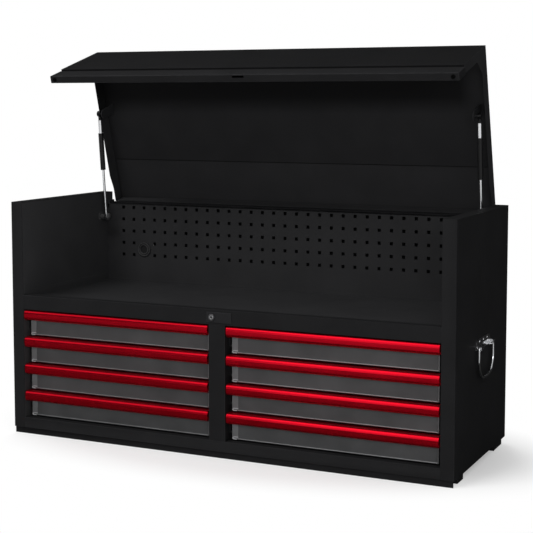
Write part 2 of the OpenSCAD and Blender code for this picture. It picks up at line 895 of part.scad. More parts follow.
// The outer members of all the slides, on the walls and the partitions
module slide_rails() {
    color("#1c1d1f")
        for (side = SIDES, row = ROWS)
            in_bank(side) slide_pair(0, outer_lip, outer_half, row);
}

// A drawer's open box with its front and the hem along the front's foot
module drawer_pan(side, row) {
    z = face_z(row);
    floor_low = z + pan_lift;
    color("#58595c") in_bank(side) {
        block([-face_half, face_setback, z], [face_half, pan_y0, z + face_h]);
        block([-face_half, face_setback - hem_t, z], [face_half, face_setback, z + hem_h]);
        difference() {
            block([-pan_half, pan_y0, floor_low], [pan_half, pan_y1, floor_low + pan_h]);
            block(
                [-pan_half + drawer_sheet, pan_y0, floor_low + drawer_sheet],
                [pan_half - drawer_sheet, pan_y1 - drawer_sheet, floor_low + pan_h + cut]
            );
        }
    }
}

// The pull's section, from the drawer front forward. Its round nose curls back
// to a rounded lip, behind which it is open to the fingers from below.
module pull_section() {
    bead = pull_wall / 2;
    lip = pull_d - pull_foot_r;
    difference() {
        pull_outline(0);
        pull_outline(pull_wall);
        translate([pull_wall, -cut]) square([lip - pull_wall, pull_wall + 2 * cut]);
    }
    translate([lip, bead]) circle(bead);
}

// The pull's outer outline, or the same drawn in by a wall
module pull_outline(wall) {
    top_r = pull_top_r - wall;
    foot_r = pull_foot_r - wall;
    d = pull_d - 2 * wall;
    h = pull_h - 2 * wall;
    translate([wall, wall]) {
        square([d - top_r, h]);
        translate([0, foot_r]) square([d, h - top_r - foot_r]);
        square([d - foot_r, h - top_r]);
        translate([d - top_r, h - top_r]) quarter_disc(top_r);
        translate([d - foot_r, foot_r]) mirror([0, 1]) quarter_disc(foot_r);
    }
}

// The quarter of a disc on the positive sides of both axes
module quarter_disc(r) {
    intersection() {
        circle(r);
        square(r);
    }
}

// The extruded pull along the top of a drawer's front
module drawer_pull(side, row) {
    foot = face_z(row) + face_h + pull_rise - pull_h;
    color("#c4122a") in_bank(side)
        translate([-pull_half, face_setback, foot])
            rotate([90, 0, 90]) linear_extrude(height = 2 * pull_half)
                mirror([1, 0]) pull_section();
}

// The inner members of a drawer's slides, on the drawer's sides
module drawer_runners(side, row) {
    color("#242528") in_bank(side) slide_pair(slide_w, inner_lip, inner_member_half, row);
}

// The middle members, which travel half as far as the drawer
module drawer_middle(side, row) {
    color("#1f2022") in_bank(side) slide_pair(middle_web, middle_lip, middle_half, row);
}

left_side_panel();
right_side_panel();
inner_walls();
back_panel();
base_pan();
front_top_rail();
centre_divider();
tray_floor();
pegboard();
cable_grommet();
feet();
slide_rails();
hinge_body_leaf();
hinge_pin();
strut_studs();
handle_plates();
lock_plate();
lock_barrel();
lid_shell();
lid_lip();
lid_stiffener();
lid_bumpers();
hinge_lid_leaf();
strut_brackets();
strut_rods();
strut_cylinders();
left_handle_bail();
right_handle_bail();
for (side = SIDES, row = ROWS) {
    drawer_pan(side, row);
    drawer_pull(side, row);
    drawer_runners(side, row);
    drawer_middle(side, row);
}
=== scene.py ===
"""Looks of a tool chest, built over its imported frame.

Every piece is in metres, in the frame's own axes: +Z is up and the front
faces -Y. The chest rests with its lid open.
"""

import json
import logging
import math
from dataclasses import dataclass, field, replace
from enum import Enum

import bmesh
import bpy
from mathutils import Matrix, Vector

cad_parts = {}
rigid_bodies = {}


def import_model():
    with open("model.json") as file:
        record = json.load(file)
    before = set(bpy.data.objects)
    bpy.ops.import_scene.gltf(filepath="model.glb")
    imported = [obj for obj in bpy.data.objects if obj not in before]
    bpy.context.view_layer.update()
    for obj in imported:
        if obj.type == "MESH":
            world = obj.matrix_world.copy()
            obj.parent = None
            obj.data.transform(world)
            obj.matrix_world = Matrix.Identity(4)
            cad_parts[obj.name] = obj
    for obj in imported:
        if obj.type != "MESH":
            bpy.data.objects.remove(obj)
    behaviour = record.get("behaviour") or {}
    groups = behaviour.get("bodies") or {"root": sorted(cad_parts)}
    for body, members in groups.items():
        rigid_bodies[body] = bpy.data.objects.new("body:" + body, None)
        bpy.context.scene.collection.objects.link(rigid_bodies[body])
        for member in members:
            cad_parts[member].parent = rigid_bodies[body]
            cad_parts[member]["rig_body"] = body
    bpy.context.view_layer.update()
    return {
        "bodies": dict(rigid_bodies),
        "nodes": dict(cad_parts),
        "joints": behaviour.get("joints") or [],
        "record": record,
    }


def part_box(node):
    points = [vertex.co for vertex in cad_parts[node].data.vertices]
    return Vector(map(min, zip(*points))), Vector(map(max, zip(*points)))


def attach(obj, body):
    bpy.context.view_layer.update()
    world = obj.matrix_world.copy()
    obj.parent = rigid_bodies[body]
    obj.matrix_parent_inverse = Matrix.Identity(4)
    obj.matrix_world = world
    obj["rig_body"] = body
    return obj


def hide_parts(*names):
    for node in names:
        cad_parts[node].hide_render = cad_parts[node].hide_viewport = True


LOG = logging.getLogger("tool_chest")
Colour = tuple[float, float, float]
Pair = tuple[float, float]
Socket = bpy.types.NodeSocket

WHITE = (1, 1, 1, 1)
# Sizes of a finish's slow clouds, of the patches along edges that are lightened as wear and as
# a painted highlight, and of waves, in metres
CLOUD_SIZE, EDGE_PATCH_SIZE, WAVE_SIZE = 0.09, 0.02, 0.16
# Spans of noise that are drawn out to a full range
NOISE_SPAN, SPECK_SPAN, EDGE_PATCH_SPAN = (0.3, 0.7), (0.55, 0.8), (0.35, 0.7)
# How far specks show, the least share of the edges' wear and painted highlight, and the grain's
# change of roughness
SPECK_SHARE, EDGE_PATCH_LEAST, GRAIN_ROUGH = 0.35, 0.35, 0.03
# How much a brushed grain is drawn out along X
BRUSH_STRETCH = (0.02, 1.0, 1.0)
# The Mix node's colour sockets: both inputs and the output
MIX_FIRST, MIX_SECOND, MIX_RESULT = 6, 7, 2
# Sheet narrower than this has rims, and wider faces meet in folds
THIN = 0.0026
FOLD_STEPS, RIM_STEPS = 4, 2
# Angles in degrees: edges that are rounded, and edges that stay sharp to the eye
ROUNDED_FROM, SHEET_SHARP, HEAD_SHARP, ROD_SHARP = 50, 42, 35, 50
# Points closer than this are one, and faces flatter than this are one
SAME_POINT, SAME_FACE = 2e-6, 0.4
# The drawers of a bank, from the top
DRAWER_ROWS = (1, 2, 3, 4)


class Grain(Enum):
    """Kinds of fine texture that a surface carries."""

    POWDER = "powder"
    BRUSHED = "brushed"
    PLATED = "plated"
    MOULDED = "moulded"


class HeadKind(Enum):
    """Kinds of fastener head."""

    RIVET = "rivet"
    SCREW = "screw"


class Side(Enum):
    """The two sides of the chest, with their signs along X."""

    LEFT = -1
    RIGHT = 1

    @property
    def label(self) -> str:
        """The word that node and body names use."""
        return self.name.lower()

    def face_of(self, node: str) -> float:
        """Where a node's face on this side lies along X."""
        low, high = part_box(node)
        return high.x if self is Side.RIGHT else low.x


class ShellCoat(Enum):
    """Lighter and darker copies of one black coat on the lid's shell, painted light and shade
    chosen by which way a face turns, with their places among its materials.
    """

    INNER = 0
    OUTSIDE = 1
    SIDE = 2
    FLANGE = 3


@dataclass(frozen=True)
class NodeMaker:
    """Short calls for building a node tree."""

    tree: bpy.types.NodeTree

    def add(self, kind: str, **settings: object) -> bpy.types.Node:
        """Adds a node.

        Args:
            kind: The node's type name.
            **settings: Properties to set on it.

        Returns:
            The new node.
        """
        node = self.tree.nodes.new(kind)
        for name, value in settings.items():
            setattr(node, name, value)
        return node

    def join(self, source: Socket, target: Socket) -> None:
        """Links an output to an input."""
        self.tree.links.new(source, target)

    def math(self, operation: str, *values: Socket | float, clamp: bool = False) -> Socket:
        """Adds a sum.

        Args:
            operation: The Math node's operation.
            *values: Numbers or sockets, in order.
            clamp: Whether the result stays between nothing and one.

        Returns:
            The sum's result.
        """
        node = self.add("ShaderNodeMath", operation=operation, use_clamp=clamp)
        for socket, value in zip(node.inputs, values):
            if isinstance(value, (int, float)):
                socket.default_value = value
            else:
                self.join(value, socket)
        return node.outputs[0]

    def noise(self, place: Socket, size: float, detail: float) -> Socket:
        """Adds a noise texture.

        Args:
            place: Where the texture reads its position.
            size: The length of a wave in metres.
            detail: How many octaves it has.

        Returns:
            The noise's value.
        """
        node = self.add("ShaderNodeTexNoise")
        node.inputs["Scale"].default_value = 1 / size
        node.inputs["Detail"].default_value = detail
        self.join(place, node.inputs["Vector"])
        return node.outputs["Fac"]

    def ranged(
        self, value: Socket, source: Pair, target: Pair = (0, 1), smooth: bool = False
    ) -> Socket:
        """Maps a value from one range to another.

        Args:
            value: The value to map.
            source: The range it comes from.
            target: The range it goes to.
            smooth: Whether it eases in and out.

        Returns:
            The mapped value.
        """
        way = "SMOOTHSTEP" if smooth else "LINEAR"
        node = self.add("ShaderNodeMapRange", interpolation_type=way)
        names = ("From Min", "From Max", "To Min", "To Max")
        for name, number in zip(names, (*source, *target)):
            node.inputs[name].default_value = number
        self.join(value, node.inputs["Value"])
        return node.outputs["Result"]

    def mixed(self, share: Socket, first: Socket | Colour, second: Socket | Colour) -> Socket:
        """Mixes two colours by a share.

        Args:
            share: How much of the second colour shows.
            first: A colour or the socket that gives one.
            second: A colour or the socket that gives one.

        Returns:
            The mixed colour.
        """
        node = self.add("ShaderNodeMix", data_type="RGBA")
        self.join(share, node.inputs["Factor"])
        for place, colour in ((MIX_FIRST, first), (MIX_SECOND, second)):
            if isinstance(colour, tuple):
                node.inputs[place].default_value = (*colour, 1.0)
            else:
                self.join(colour, node.inputs[place])
        return node.outputs[MIX_RESULT]

    def bump(self, height: Socket, depth: float) -> bpy.types.Node:
        """Adds relief.

        Args:
            height: What the relief follows.
            depth: How deep it is, in metres.

        Returns:
            The relief's node.
        """
        node = self.add("ShaderNodeBump")
        node.inputs["Strength"].default_value = 1.0
        node.inputs["Distance"].default_value = depth
        self.join(height, node.inputs["Height"])
        return node

    def surface(self, share: Socket, first: Socket, second: Socket, end: str) -> None:
        """Ends a tree in two shaders, mixed by a share.

        Args:
            share: How much of the second shader shows.
            first: One shader.
            second: The other.
            end: The output node's type name.
        """
        mix = self.add("ShaderNodeMixShader")
        for socket, source in zip(mix.inputs, (share, first, second)):
            self.join(source, socket)
        self.join(mix.outputs[0], self.add(end).inputs["Surface"])

    def inputs(self, **kinds: str) -> bpy.types.Node:
        """Declares a Geometry Nodes tree's inputs and its one geometry output.

        Args:
            **kinds: Each input's name and socket type.

        Returns:
            The tree's input node.
        """
        for name, kind in kinds.items():
            self.tree.interface.new_socket(name, in_out="INPUT", socket_type=kind)
        self.tree.interface.new_socket(
            "Mesh", in_out="OUTPUT", socket_type="NodeSocketGeometry"
        )
        return self.add("NodeGroupInput")

    def finish(self, geometry: Socket, material: Socket) -> None:
        """Realizes what was made, shades it smooth and gives it its finish.

        Args:
            geometry: What the tree has made.
            material: The finish that it takes.
        """
        real = self.add("GeometryNodeRealizeInstances")
        smooth = self.add("GeometryNodeSetShadeSmooth")
        coat = self.add("GeometryNodeSetMaterial")
        end = self.add("NodeGroupOutput")
        self.join(geometry, real.inputs["Geometry"])
        self.join(real.outputs["Geometry"], smooth.inputs["Geometry"])
        self.join(smooth.outputs["Geometry"], coat.inputs["Geometry"])
        self.join(material, coat.inputs["Material"])
        self.join(coat.outputs["Geometry"], end.inputs["Mesh"])


@dataclass(frozen=True)
class Dulled:
    """Where a coat carries a painted shadow: past two spans, each along its own direction."""

    deep: tuple[Colour, Pair]
    side: tuple[Colour, Pair]
    tone: float

    def share(self, maker: NodeMaker, place: Socket) -> Socket:
        """Says how much painted shadow the coat carries at a place.

        Args:
            maker: The material's maker.
            place: The piece's own position.

        Returns:
            One where the painted shadow is darkest, and nothing where there is none.
        """
        shares = []
        for axis, span in (self.deep, self.side):
            along = maker.add("ShaderNodeVectorMath", operation="DOT_PRODUCT")
            along.inputs[1].default_value = axis
            maker.join(place, along.inputs[0])
            shares.append(maker.ranged(along.outputs["Value"], span))
        return maker.math("MULTIPLY", *shares)


@dataclass(frozen=True)
class Finish:
    """A surface finish, written as a node material.

    Sizes are in metres. The colour is scene-linear.
    """

    name: str
    colour: Colour
    roughness: float
    metallic: float = 0.0
    specular: float = 0.1
    grain: Grain = Grain.POWDER
    grain_size: float = 0.0016
    grain_depth: float = 0.00004
    wave_depth: float = 0.0
    mottle: float = 0.08
    rough_spread: float = 0.02
    # The rounded edges lighten towards this colour, partly as wear and partly as a painted
    # highlight along the edges
    edge_colour: Colour = (0.03, 0.03, 0.032)
    edge_wear: float = 0.5
    # A painted shadow that darkens the coat over part of a piece, or none
    dulled: Dulled | None = None

    def build(self) -> bpy.types.Material:
        """Makes the material, or finds it if it is made already.

        Returns:
            The node material of this finish.
        """
        made = bpy.data.materials.get(self.name)
        if made is not None:
            return made
        made = bpy.data.materials.new(self.name)
        made.use_nodes = True
        made.diffuse_color = (*self.colour, 1.0)
        made.node_tree.nodes.clear()
        maker = NodeMaker(made.node_tree)
        shader = maker.add("ShaderNodeBsdfPrincipled")
        end = maker.add("ShaderNodeOutputMaterial")
        maker.join(shader.outputs["BSDF"], end.inputs["Surface"])
        shader.inputs["Metallic"].default_value = self.metallic
        shader.inputs["Specular IOR Level"].default_value = self.specular
        place = maker.add("ShaderNodeTexCoord").outputs["Object"]
        cloud = maker.noise(place, CLOUD_SIZE, 3.0)
        fine = maker.noise(self._grain_place(maker, place), self.grain_size, 2.0)
        maker.join(self._colour(maker, place, cloud, fine), shader.inputs["Base Color"])
        maker.join(self._roughness(maker, cloud, fine), shader.inputs["Roughness"])
        maker.join(self._relief(maker, place, fine), shader.inputs["Normal"])
        return made

    def _grain_place(self, maker: NodeMaker, place: Socket) -> Socket:
        """Draws the grain out along X where the finish is brushed.

        Args:
            maker: The material's maker.
            place: The piece's own position.

        Returns:
            The position that the grain reads.
        """
        mapping = maker.add("ShaderNodeMapping")
        if self.grain is Grain.BRUSHED:
            mapping.inputs["Scale"].default_value = BRUSH_STRETCH
        maker.join(place, mapping.inputs["Vector"])
        return mapping.outputs["Vector"]

    def _colour(self, maker: NodeMaker, place: Socket, cloud: Socket, fine: Socket) -> Socket:
        """Clouds the colour, lightens it along the rounded edges as wear and as a painted
        highlight, and darkens it where a painted shadow lies.

        Args:
            maker: The material's maker.
            place: The piece's own position.
            cloud: Slow noise.
            fine: Grain noise.

        Returns:
            The surface's colour.
        """
        low = tuple(c * (1 - self.mottle) for c in self.colour)
        high = tuple(c * (1 + self.mottle) for c in self.colour)
        slow = maker.mixed(maker.ranged(cloud, NOISE_SPAN), low, high)
        speckled = maker.mixed(maker.ranged(fine, SPECK_SPAN, (0, SPECK_SHARE)), slow, high)
        # Rounded edges are lightened in patches: partly wear, partly a painted highlight
        edge = maker.add("ShaderNodeAttribute", attribute_name="edge")
        rub_and_sheen = maker.noise(place, EDGE_PATCH_SIZE, 4.0)
        wear_and_sheen = maker.ranged(rub_and_sheen, EDGE_PATCH_SPAN, (EDGE_PATCH_LEAST * self.edge_wear, self.edge_wear))
        worn_and_sheened = maker.math("MULTIPLY", edge.outputs["Fac"], wear_and_sheen)
        rubbed_and_sheened = maker.mixed(worn_and_sheened, speckled, self.edge_colour)
        # Where a painted shadow lies, the colour darkens towards a darker copy of itself
        if self.dulled is None:
            return rubbed_and_sheened
        dark = tuple(c * self.dulled.tone for c in self.colour)
        return maker.mixed(self.dulled.share(maker, place), rubbed_and_sheened, dark)

    def _roughness(self, maker: NodeMaker, cloud: Socket, fine: Socket) -> Socket:
        """Varies the roughness slowly and with the grain.

        Args:
            maker: The material's maker.
            cloud: Slow noise.
            fine: Grain noise.

        Returns:
            The surface's roughness.
        """
        spread = (self.roughness - self.rough_spread, self.roughness + self.rough_spread)
        slow = maker.ranged(cloud, NOISE_SPAN, spread)
        grain = maker.ranged(fine, NOISE_SPAN, (-GRAIN_ROUGH, GRAIN_ROUGH))
        return maker.math("ADD", slow, grain, clamp=True)

    def _relief(self, maker: NodeMaker, place: Socket, fine: Socket) -> Socket:
        """Adds the grain's relief and the slow wave of thin sheet.

        Args:
            maker: The material's maker.
            place: The piece's own position.
            fine: Grain noise.

        Returns:
            The bumped normal.
        """
        grain = maker.bump(fine, self.grain_depth)
        if self.wave_depth > 0:
            wave = maker.bump(maker.noise(place, WAVE_SIZE, 0.0), self.wave_depth)
            maker.join(wave.outputs["Normal"], grain.inputs["Normal"])
        return grain.outputs["Normal"]


BLACK_COAT = Finish(
    "black_powder_coat",
    (0.0115, 0.0115, 0.0121),
    0.54,
    specular=0.03,
    wave_depth=0.00012,
    edge_colour=(0.028, 0.028, 0.03),
)
# A lighter copy of the black coat: painted light on the tray's floor, pegboard and corner
# blocks, which lie in shade
TRAY_LIT_COAT = replace(
    BLACK_COAT,
    name="black_tray_coat",
    colour=(0.0245, 0.0245, 0.0256),
    roughness=0.56,
    wave_depth=0.00008,
)
# A still lighter copy: painted light on the tray's inner walls, their flanges and the strip
# over the lid's rear flange, which lie in shade
INNER_WALL_LIT_COAT = replace(
    TRAY_LIT_COAT,
    name="black_inner_wall_coat",
    colour=(0.038, 0.038, 0.0395),
    edge_colour=(0.03, 0.03, 0.032),
)
LIP_COAT = replace(
    BLACK_COAT, name="black_lip_coat", roughness=0.52, edge_colour=(0.03, 0.03, 0.032)
)
# A lighter copy of the lip's coat: painted light on the lid's stiffening plate and the strut
# brackets, which lie in shade
STIFFENER_LIT_COAT = replace(
    LIP_COAT, name="black_stiffener_coat", colour=(0.0235, 0.0235, 0.0247)
)
# A lighter copy of the black coat: painted light on the lid's outer sides, which lie in shade
LID_SIDE_LIT_COAT = replace(LIP_COAT, name="black_lid_side_coat", colour=(0.0185, 0.0185, 0.0195))
# The lid's inner coat is the same lighter copy, which paints light on the shaded inner face. A
# painted shadow darkens it towards the deep corner under the lip and stops short of the right
# end, as the lip's shadow does
LID_COAT = replace(
    LID_SIDE_LIT_COAT,
    name="black_lid_coat",
    dulled=Dulled(
        deep=((0.0, -0.2756, 0.9613), (0.852, 0.902)),
        side=((-1.0, 0.0, 0.0), (-0.6, -0.545)),
        tone=0.4,
    ),
)
# A still lighter copy: painted light on the inner faces of the lid's side flanges, which lie in
# shade. It carries the lid's painted shadow too
LID_FLANGE_LIT_COAT = replace(
    LID_COAT, name="black_lid_flange_coat", colour=(0.032, 0.032, 0.0335)
)
# A darker copy of the black coat: painted shade on the lid's outside, which faces the light
LID_OUTSIDE_SHADED_COAT = replace(
    LIP_COAT,
    name="black_lid_outside_coat",
    colour=(0.0072, 0.0072, 0.0076),
    edge_colour=(0.028, 0.028, 0.03),
)
CHROME = Finish(
    "bright_chrome",
    (0.66, 0.665, 0.68),
    0.12,
    metallic=1.0,
    specular=0.5,
    grain=Grain.PLATED,
    grain_size=0.006,
    grain_depth=0.00001,
    mottle=0.06,
    rough_spread=0.05,
    edge_colour=(0.78, 0.78, 0.8),
)
HANDLE_CHROME = replace(
    CHROME,
    name="handle_chrome_plate",
    colour=(0.52, 0.525, 0.54),
    roughness=0.15,
    grain_depth=0.00002,
    mottle=0.08,
    edge_colour=(0.65, 0.65, 0.67),
)
# A much darker copy of the chrome: the dark surroundings that the barrel reflects are painted
# into its colour
LOCK_SHADED_CHROME = replace(
    CHROME,
    name="satin_lock_chrome",
    colour=(0.12, 0.12, 0.124),
    roughness=0.34,
    grain_size=0.002,
    mottle=0.08,
    rough_spread=0.02,
    edge_colour=(0.45, 0.45, 0.46),
)
ZINC = replace(
    CHROME,
    name="zinc_plate",
    colour=(0.46, 0.46, 0.47),
    roughness=0.36,
    grain_size=0.004,
    grain_depth=0.00003,
    mottle=0.16,
    rough_spread=0.08,
    edge_colour=(0.6, 0.6, 0.61),
)
CLIP_STEEL = Finish(
    "bright_clip_wire",
    (0.42, 0.42, 0.43),
    0.45,
    metallic=0.4,
    specular=0.4,
    grain=Grain.PLATED,
    grain_size=0.003,
    grain_depth=0.00002,
    edge_colour=(0.5, 0.5, 0.51),
)
DRAWER_GREY = Finish(
    "drawer_grey_paint",
    (0.078, 0.079, 0.081),
    0.44,
    metallic=0.25,
    specular=0.12,
    grain_size=0.0011,
    mottle=0.14,
    wave_depth=0.0001,
    edge_colour=(0.2, 0.2, 0.205),
    edge_wear=0.8,
)
STRIP_GREY = Finish(
    "drawer_end_strip",
    (0.15, 0.152, 0.155),
    0.42,
    metallic=0.15,
    specular=0.2,
    grain_size=0.0011,
    edge_colour=(0.24, 0.24, 0.245),
    edge_wear=0.8,
)
# Lighter than the drawer's grey: a painted highlight along the fronts' rolled edges, on top of
# their real reflection
HEM_HIGHLIGHT_STEEL = Finish(
    "rolled_edge_steel",
    (0.2, 0.2, 0.206),
    0.36,
    metallic=0.7,
    specular=0.3,
    grain=Grain.PLATED,
    grain_size=0.004,
    grain_depth=0.00002,
    edge_colour=(0.26, 0.26, 0.265),
)
PULL_RED = Finish(
    "pull_red_anodised",
    (0.53, 0.004, 0.015),
    0.24,
    metallic=0.88,
    specular=0.04,
    grain=Grain.BRUSHED,
    grain_size=0.0009,
    grain_depth=0.000002,
    mottle=0.03,
    edge_colour=(0.5, 0.01, 0.02),
    edge_wear=0.4,
)
SLIDE_BLACK = Finish(
    "black_slide_zinc",
    (0.013, 0.013, 0.014),
    0.4,
    metallic=0.3,
    grain=Grain.PLATED,
    grain_size=0.004,
    grain_depth=0.00002,
    edge_colour=(0.05, 0.05, 0.053),
    edge_wear=0.6,
)
HINGE_STEEL = Finish(
    "black_hinge_steel", (0.011, 0.011, 0.012), 0.48, specular=0.06, grain_depth=0.00002
)
STRUT_BLACK = Finish(
    "strut_black_enamel",
    (0.005, 0.005, 0.0055),
    0.28,
    specular=0.2,
    grain=Grain.PLATED,
    grain_size=0.003,
    grain_depth=0.00001,
    mottle=0.1,
)
LOCK_GREY = Finish(
    "lock_plate_grey",
    (0.013, 0.013, 0.014),
    0.44,
    grain_size=0.001,
    edge_colour=(0.05, 0.05, 0.053),
    edge_wear=0.7,
)
BLACK_PLASTIC = Finish(
    "black_moulded_plastic",
    (0.008, 0.008, 0.0085),
    0.6,
    specular=0.2,
    grain=Grain.MOULDED,
    grain_size=0.0007,
    grain_depth=0.00005,
    edge_colour=(0.02, 0.02, 0.021),
    edge_wear=0.4,
)
PLUG_GREY = Finish(
    "grey_plug_rim",
    (0.045, 0.045, 0.046),
    0.5,
    specular=0.15,
    grain=Grain.MOULDED,
    grain_size=0.0007,
    grain_depth=0.00003,
    edge_colour=(0.06, 0.06, 0.061),
)
RUBBER = Finish(
    "black_rubber",
    (0.006, 0.006, 0.006),
    0.75,
    grain=Grain.MOULDED,
    grain_size=0.0012,
    grain_depth=0.00006,
    edge_colour=(0.014, 0.014, 0.014),
    edge_wear=0.3,
)
# A darker copy of the rubber: painted shade, so that the buttons at the lip's ends read as dark
# holes
BUMPER_SHADED_RUBBER = replace(
    RUBBER,
    name="black_bumper_rubber",
    colour=(0.0015, 0.0015, 0.0015),
    roughness=0.8,
    specular=0.03,
    edge_colour=(0.004, 0.004, 0.004),
)


@dataclass(frozen=True)
class HeadTree:
    """A tree that sets a fastener's head on every point, along its axis.

    A screw's steps are rises, in heights of the head, and the shares its top keeps.
    """

    kind: HeadKind
    facets: int = 16
    steps: tuple[Pair, ...] = ((0.3, 0.86), (0.12, 0.75), (0.0, 0.62), (-0.7, 0.85))

    def build(self) -> bpy.types.NodeTree:
        """Makes the tree, or finds it if it is made already.

        Returns:
            The Geometry Nodes tree.
        """
        name = f"{self.kind.value}_heads"
        made = bpy.data.node_groups.get(name)
        if made is not None:
            return made
        tree = bpy.data.node_groups.new(name, "GeometryNodeTree")
        maker = NodeMaker(tree)
        start = maker.inputs(
            Points="NodeSocketGeometry",
            Radius="NodeSocketFloat",
            Height="NodeSocketFloat",
            Finish="NodeSocketMaterial",
        )
        shape = self._rivet if self.kind is HeadKind.RIVET else self._screw
        head = shape(maker, start.outputs["Radius"], start.outputs["Height"])
        axis = maker.add("GeometryNodeInputNamedAttribute", data_type="FLOAT_VECTOR")
        axis.inputs["Name"].default_value = "axis"
        turn = maker.add("FunctionNodeAlignRotationToVector", axis="Z")
        maker.join(axis.outputs["Attribute"], turn.inputs["Vector"])
        place = maker.add("GeometryNodeInstanceOnPoints")
        maker.join(start.outputs["Points"], place.inputs["Points"])
        maker.join(head, place.inputs["Instance"])
        maker.join(turn.outputs["Rotation"], place.inputs["Rotation"])
        maker.finish(place.outputs["Instances"], start.outputs["Finish"])
        return tree

    def _rivet(self, maker: NodeMaker, radius: Socket, height: Socket) -> Socket:
        """Makes a low dome with a flat underside.

        Args:
            maker: The tree's maker.
            radius: The head's radius.
            height: The head's height.

        Returns:
            The head's mesh.
        """
        ball = maker.add("GeometryNodeMeshUVSphere")
        ball.inputs["Segments"].default_value = self.facets
        ball.inputs["Rings"].default_value = self.facets // 2
        maker.join(radius, ball.inputs["Radius"])
        parts = maker.add("ShaderNodeSeparateXYZ")
        maker.join(maker.add("GeometryNodeInputPosition").outputs[0], parts.inputs[0])
        above = maker.math("MAXIMUM", parts.outputs["Z"], 0.0)
        lifted = maker.math("MULTIPLY", above, maker.math("DIVIDE", height, radius))
        whole = maker.add("ShaderNodeCombineXYZ")
        maker.join(parts.outputs["X"], whole.inputs["X"])
        maker.join(parts.outputs["Y"], whole.inputs["Y"])
        maker.join(lifted, whole.inputs["Z"])
        shaped = maker.add("GeometryNodeSetPosition")
        maker.join(ball.outputs["Mesh"], shaped.inputs["Geometry"])
        maker.join(whole.outputs["Vector"], shaped.inputs["Position"])
        return shaped.outputs["Geometry"]

    def _screw(self, maker: NodeMaker, radius: Socket, height: Socket) -> Socket:
        """Makes a pan head with a rounded shoulder and a driver's recess.

        Args:
            maker: The tree's maker.
            radius: The head's radius.
            height: The head's height.

        Returns:
            The head's mesh.
        """
        drum = maker.add("GeometryNodeMeshCylinder", fill_type="NGON")
        drum.inputs["Vertices"].default_value = self.facets
        maker.join(radius, drum.inputs["Radius"])
        maker.join(height, drum.inputs["Depth"])
        mesh, top = drum.outputs["Mesh"], drum.outputs["Top"]
        for rise, share in self.steps:
            push = maker.add("GeometryNodeExtrudeMesh", mode="FACES")
            push.inputs["Individual"].default_value = False
            maker.join(mesh, push.inputs["Mesh"])
            maker.join(top, push.inputs["Selection"])
            maker.join(maker.math("MULTIPLY", height, rise), push.inputs["Offset Scale"])
            shrink = maker.add("GeometryNodeScaleElements", domain="FACE")
            maker.join(push.outputs["Mesh"], shrink.inputs["Geometry"])
            maker.join(push.outputs["Top"], shrink.inputs["Selection"])
            shrink.inputs["Scale"].default_value = share
            mesh, top = shrink.outputs["Geometry"], push.outputs["Top"]
        return mesh


@dataclass(frozen=True)
class TubeTree:
    """A tree that runs a round rod along a path, bending it at each point."""

    facets: int = 20
    bend_steps: int = 16

    def build(self) -> bpy.types.NodeTree:
        """Makes the tree, or finds it if it is made already.

        Returns:
            The Geometry Nodes tree.
        """
        made = bpy.data.node_groups.get("bent_rod")
        if made is not None:
            return made
        tree = bpy.data.node_groups.new("bent_rod", "GeometryNodeTree")
        maker = NodeMaker(tree)
        start = maker.inputs(
            Path="NodeSocketGeometry",
            Radius="NodeSocketFloat",
            Finish="NodeSocketMaterial",
        )
        line = maker.add("GeometryNodeMeshToCurve")
        maker.join(start.outputs["Path"], line.inputs["Mesh"])
        bend = maker.add("GeometryNodeInputNamedAttribute", data_type="FLOAT")
        bend.inputs["Name"].default_value = "bend"
        bent = maker.add("GeometryNodeFilletCurve", mode="POLY")
        bent.inputs["Count"].default_value = self.bend_steps
        bent.inputs["Limit Radius"].default_value = True
        maker.join(line.outputs["Curve"], bent.inputs["Curve"])
        maker.join(bend.outputs["Attribute"], bent.inputs["Radius"])
        ring = maker.add("GeometryNodeCurvePrimitiveCircle", mode="RADIUS")
        ring.inputs["Resolution"].default_value = self.facets
        maker.join(start.outputs["Radius"], ring.inputs["Radius"])
        tube = maker.add("GeometryNodeCurveToMesh")
        tube.inputs["Fill Caps"].default_value = True
        maker.join(bent.outputs["Curve"], tube.inputs["Curve"])
        maker.join(ring.outputs["Curve"], tube.inputs["Profile Curve"])
        maker.finish(tube.outputs["Mesh"], start.outputs["Finish"])
        return tree


def grown(
    points: bpy.types.Mesh, tree: bpy.types.NodeTree, values: dict[str, object]
) -> bpy.types.Mesh:
    """Runs a tree on a mesh and returns what it makes as a plain mesh.

    Args:
        points: The mesh that the tree starts from.
        tree: The Geometry Nodes tree.
        values: The tree's inputs, by name.

    Returns:
        A mesh with no modifier behind it.
    """
    holder = bpy.data.objects.new(points.name, points)
    bpy.context.scene.collection.objects.link(holder)
    maker = holder.modifiers.new("maker", "NODES")
    maker.node_group = tree
    for item in tree.interface.items_tree:
        if item.item_type == "SOCKET" and item.in_out == "INPUT" and item.name in values:
            maker[item.identifier] = values[item.name]
    return settled(holder)


def settled(holder: bpy.types.Object) -> bpy.types.Mesh:
    """Takes the mesh that an object's modifiers make, and removes the object.

    Args:
        holder: An object with its modifiers set.

    Returns:
        The evaluated mesh.
    """
    graph = bpy.context.evaluated_depsgraph_get()
    graph.update()
    made = bpy.data.meshes.new_from_object(holder.evaluated_get(graph), depsgraph=graph)
    bpy.data.objects.remove(holder)
    return made


def narrowness(face: bmesh.types.BMFace) -> float:
    """Says about how wide a face is across its narrow way."""
    return 2 * face.calc_area() / face.calc_perimeter()


def block(low: Vector, high: Vector) -> bmesh.types.BMesh:
    """Makes a box between two corners.

    Args:
        low: One corner.
        high: The corner across from it.

    Returns:
        The box's mesh in edit form.
    """
    shape = bmesh.new()
    bmesh.ops.create_cube(shape, size=1.0)
    for vert in shape.verts:
        vert.co = Vector(
            (low[i] + high[i]) / 2 + vert.co[i] * abs(high[i] - low[i]) for i in range(3)
        )
    return shape


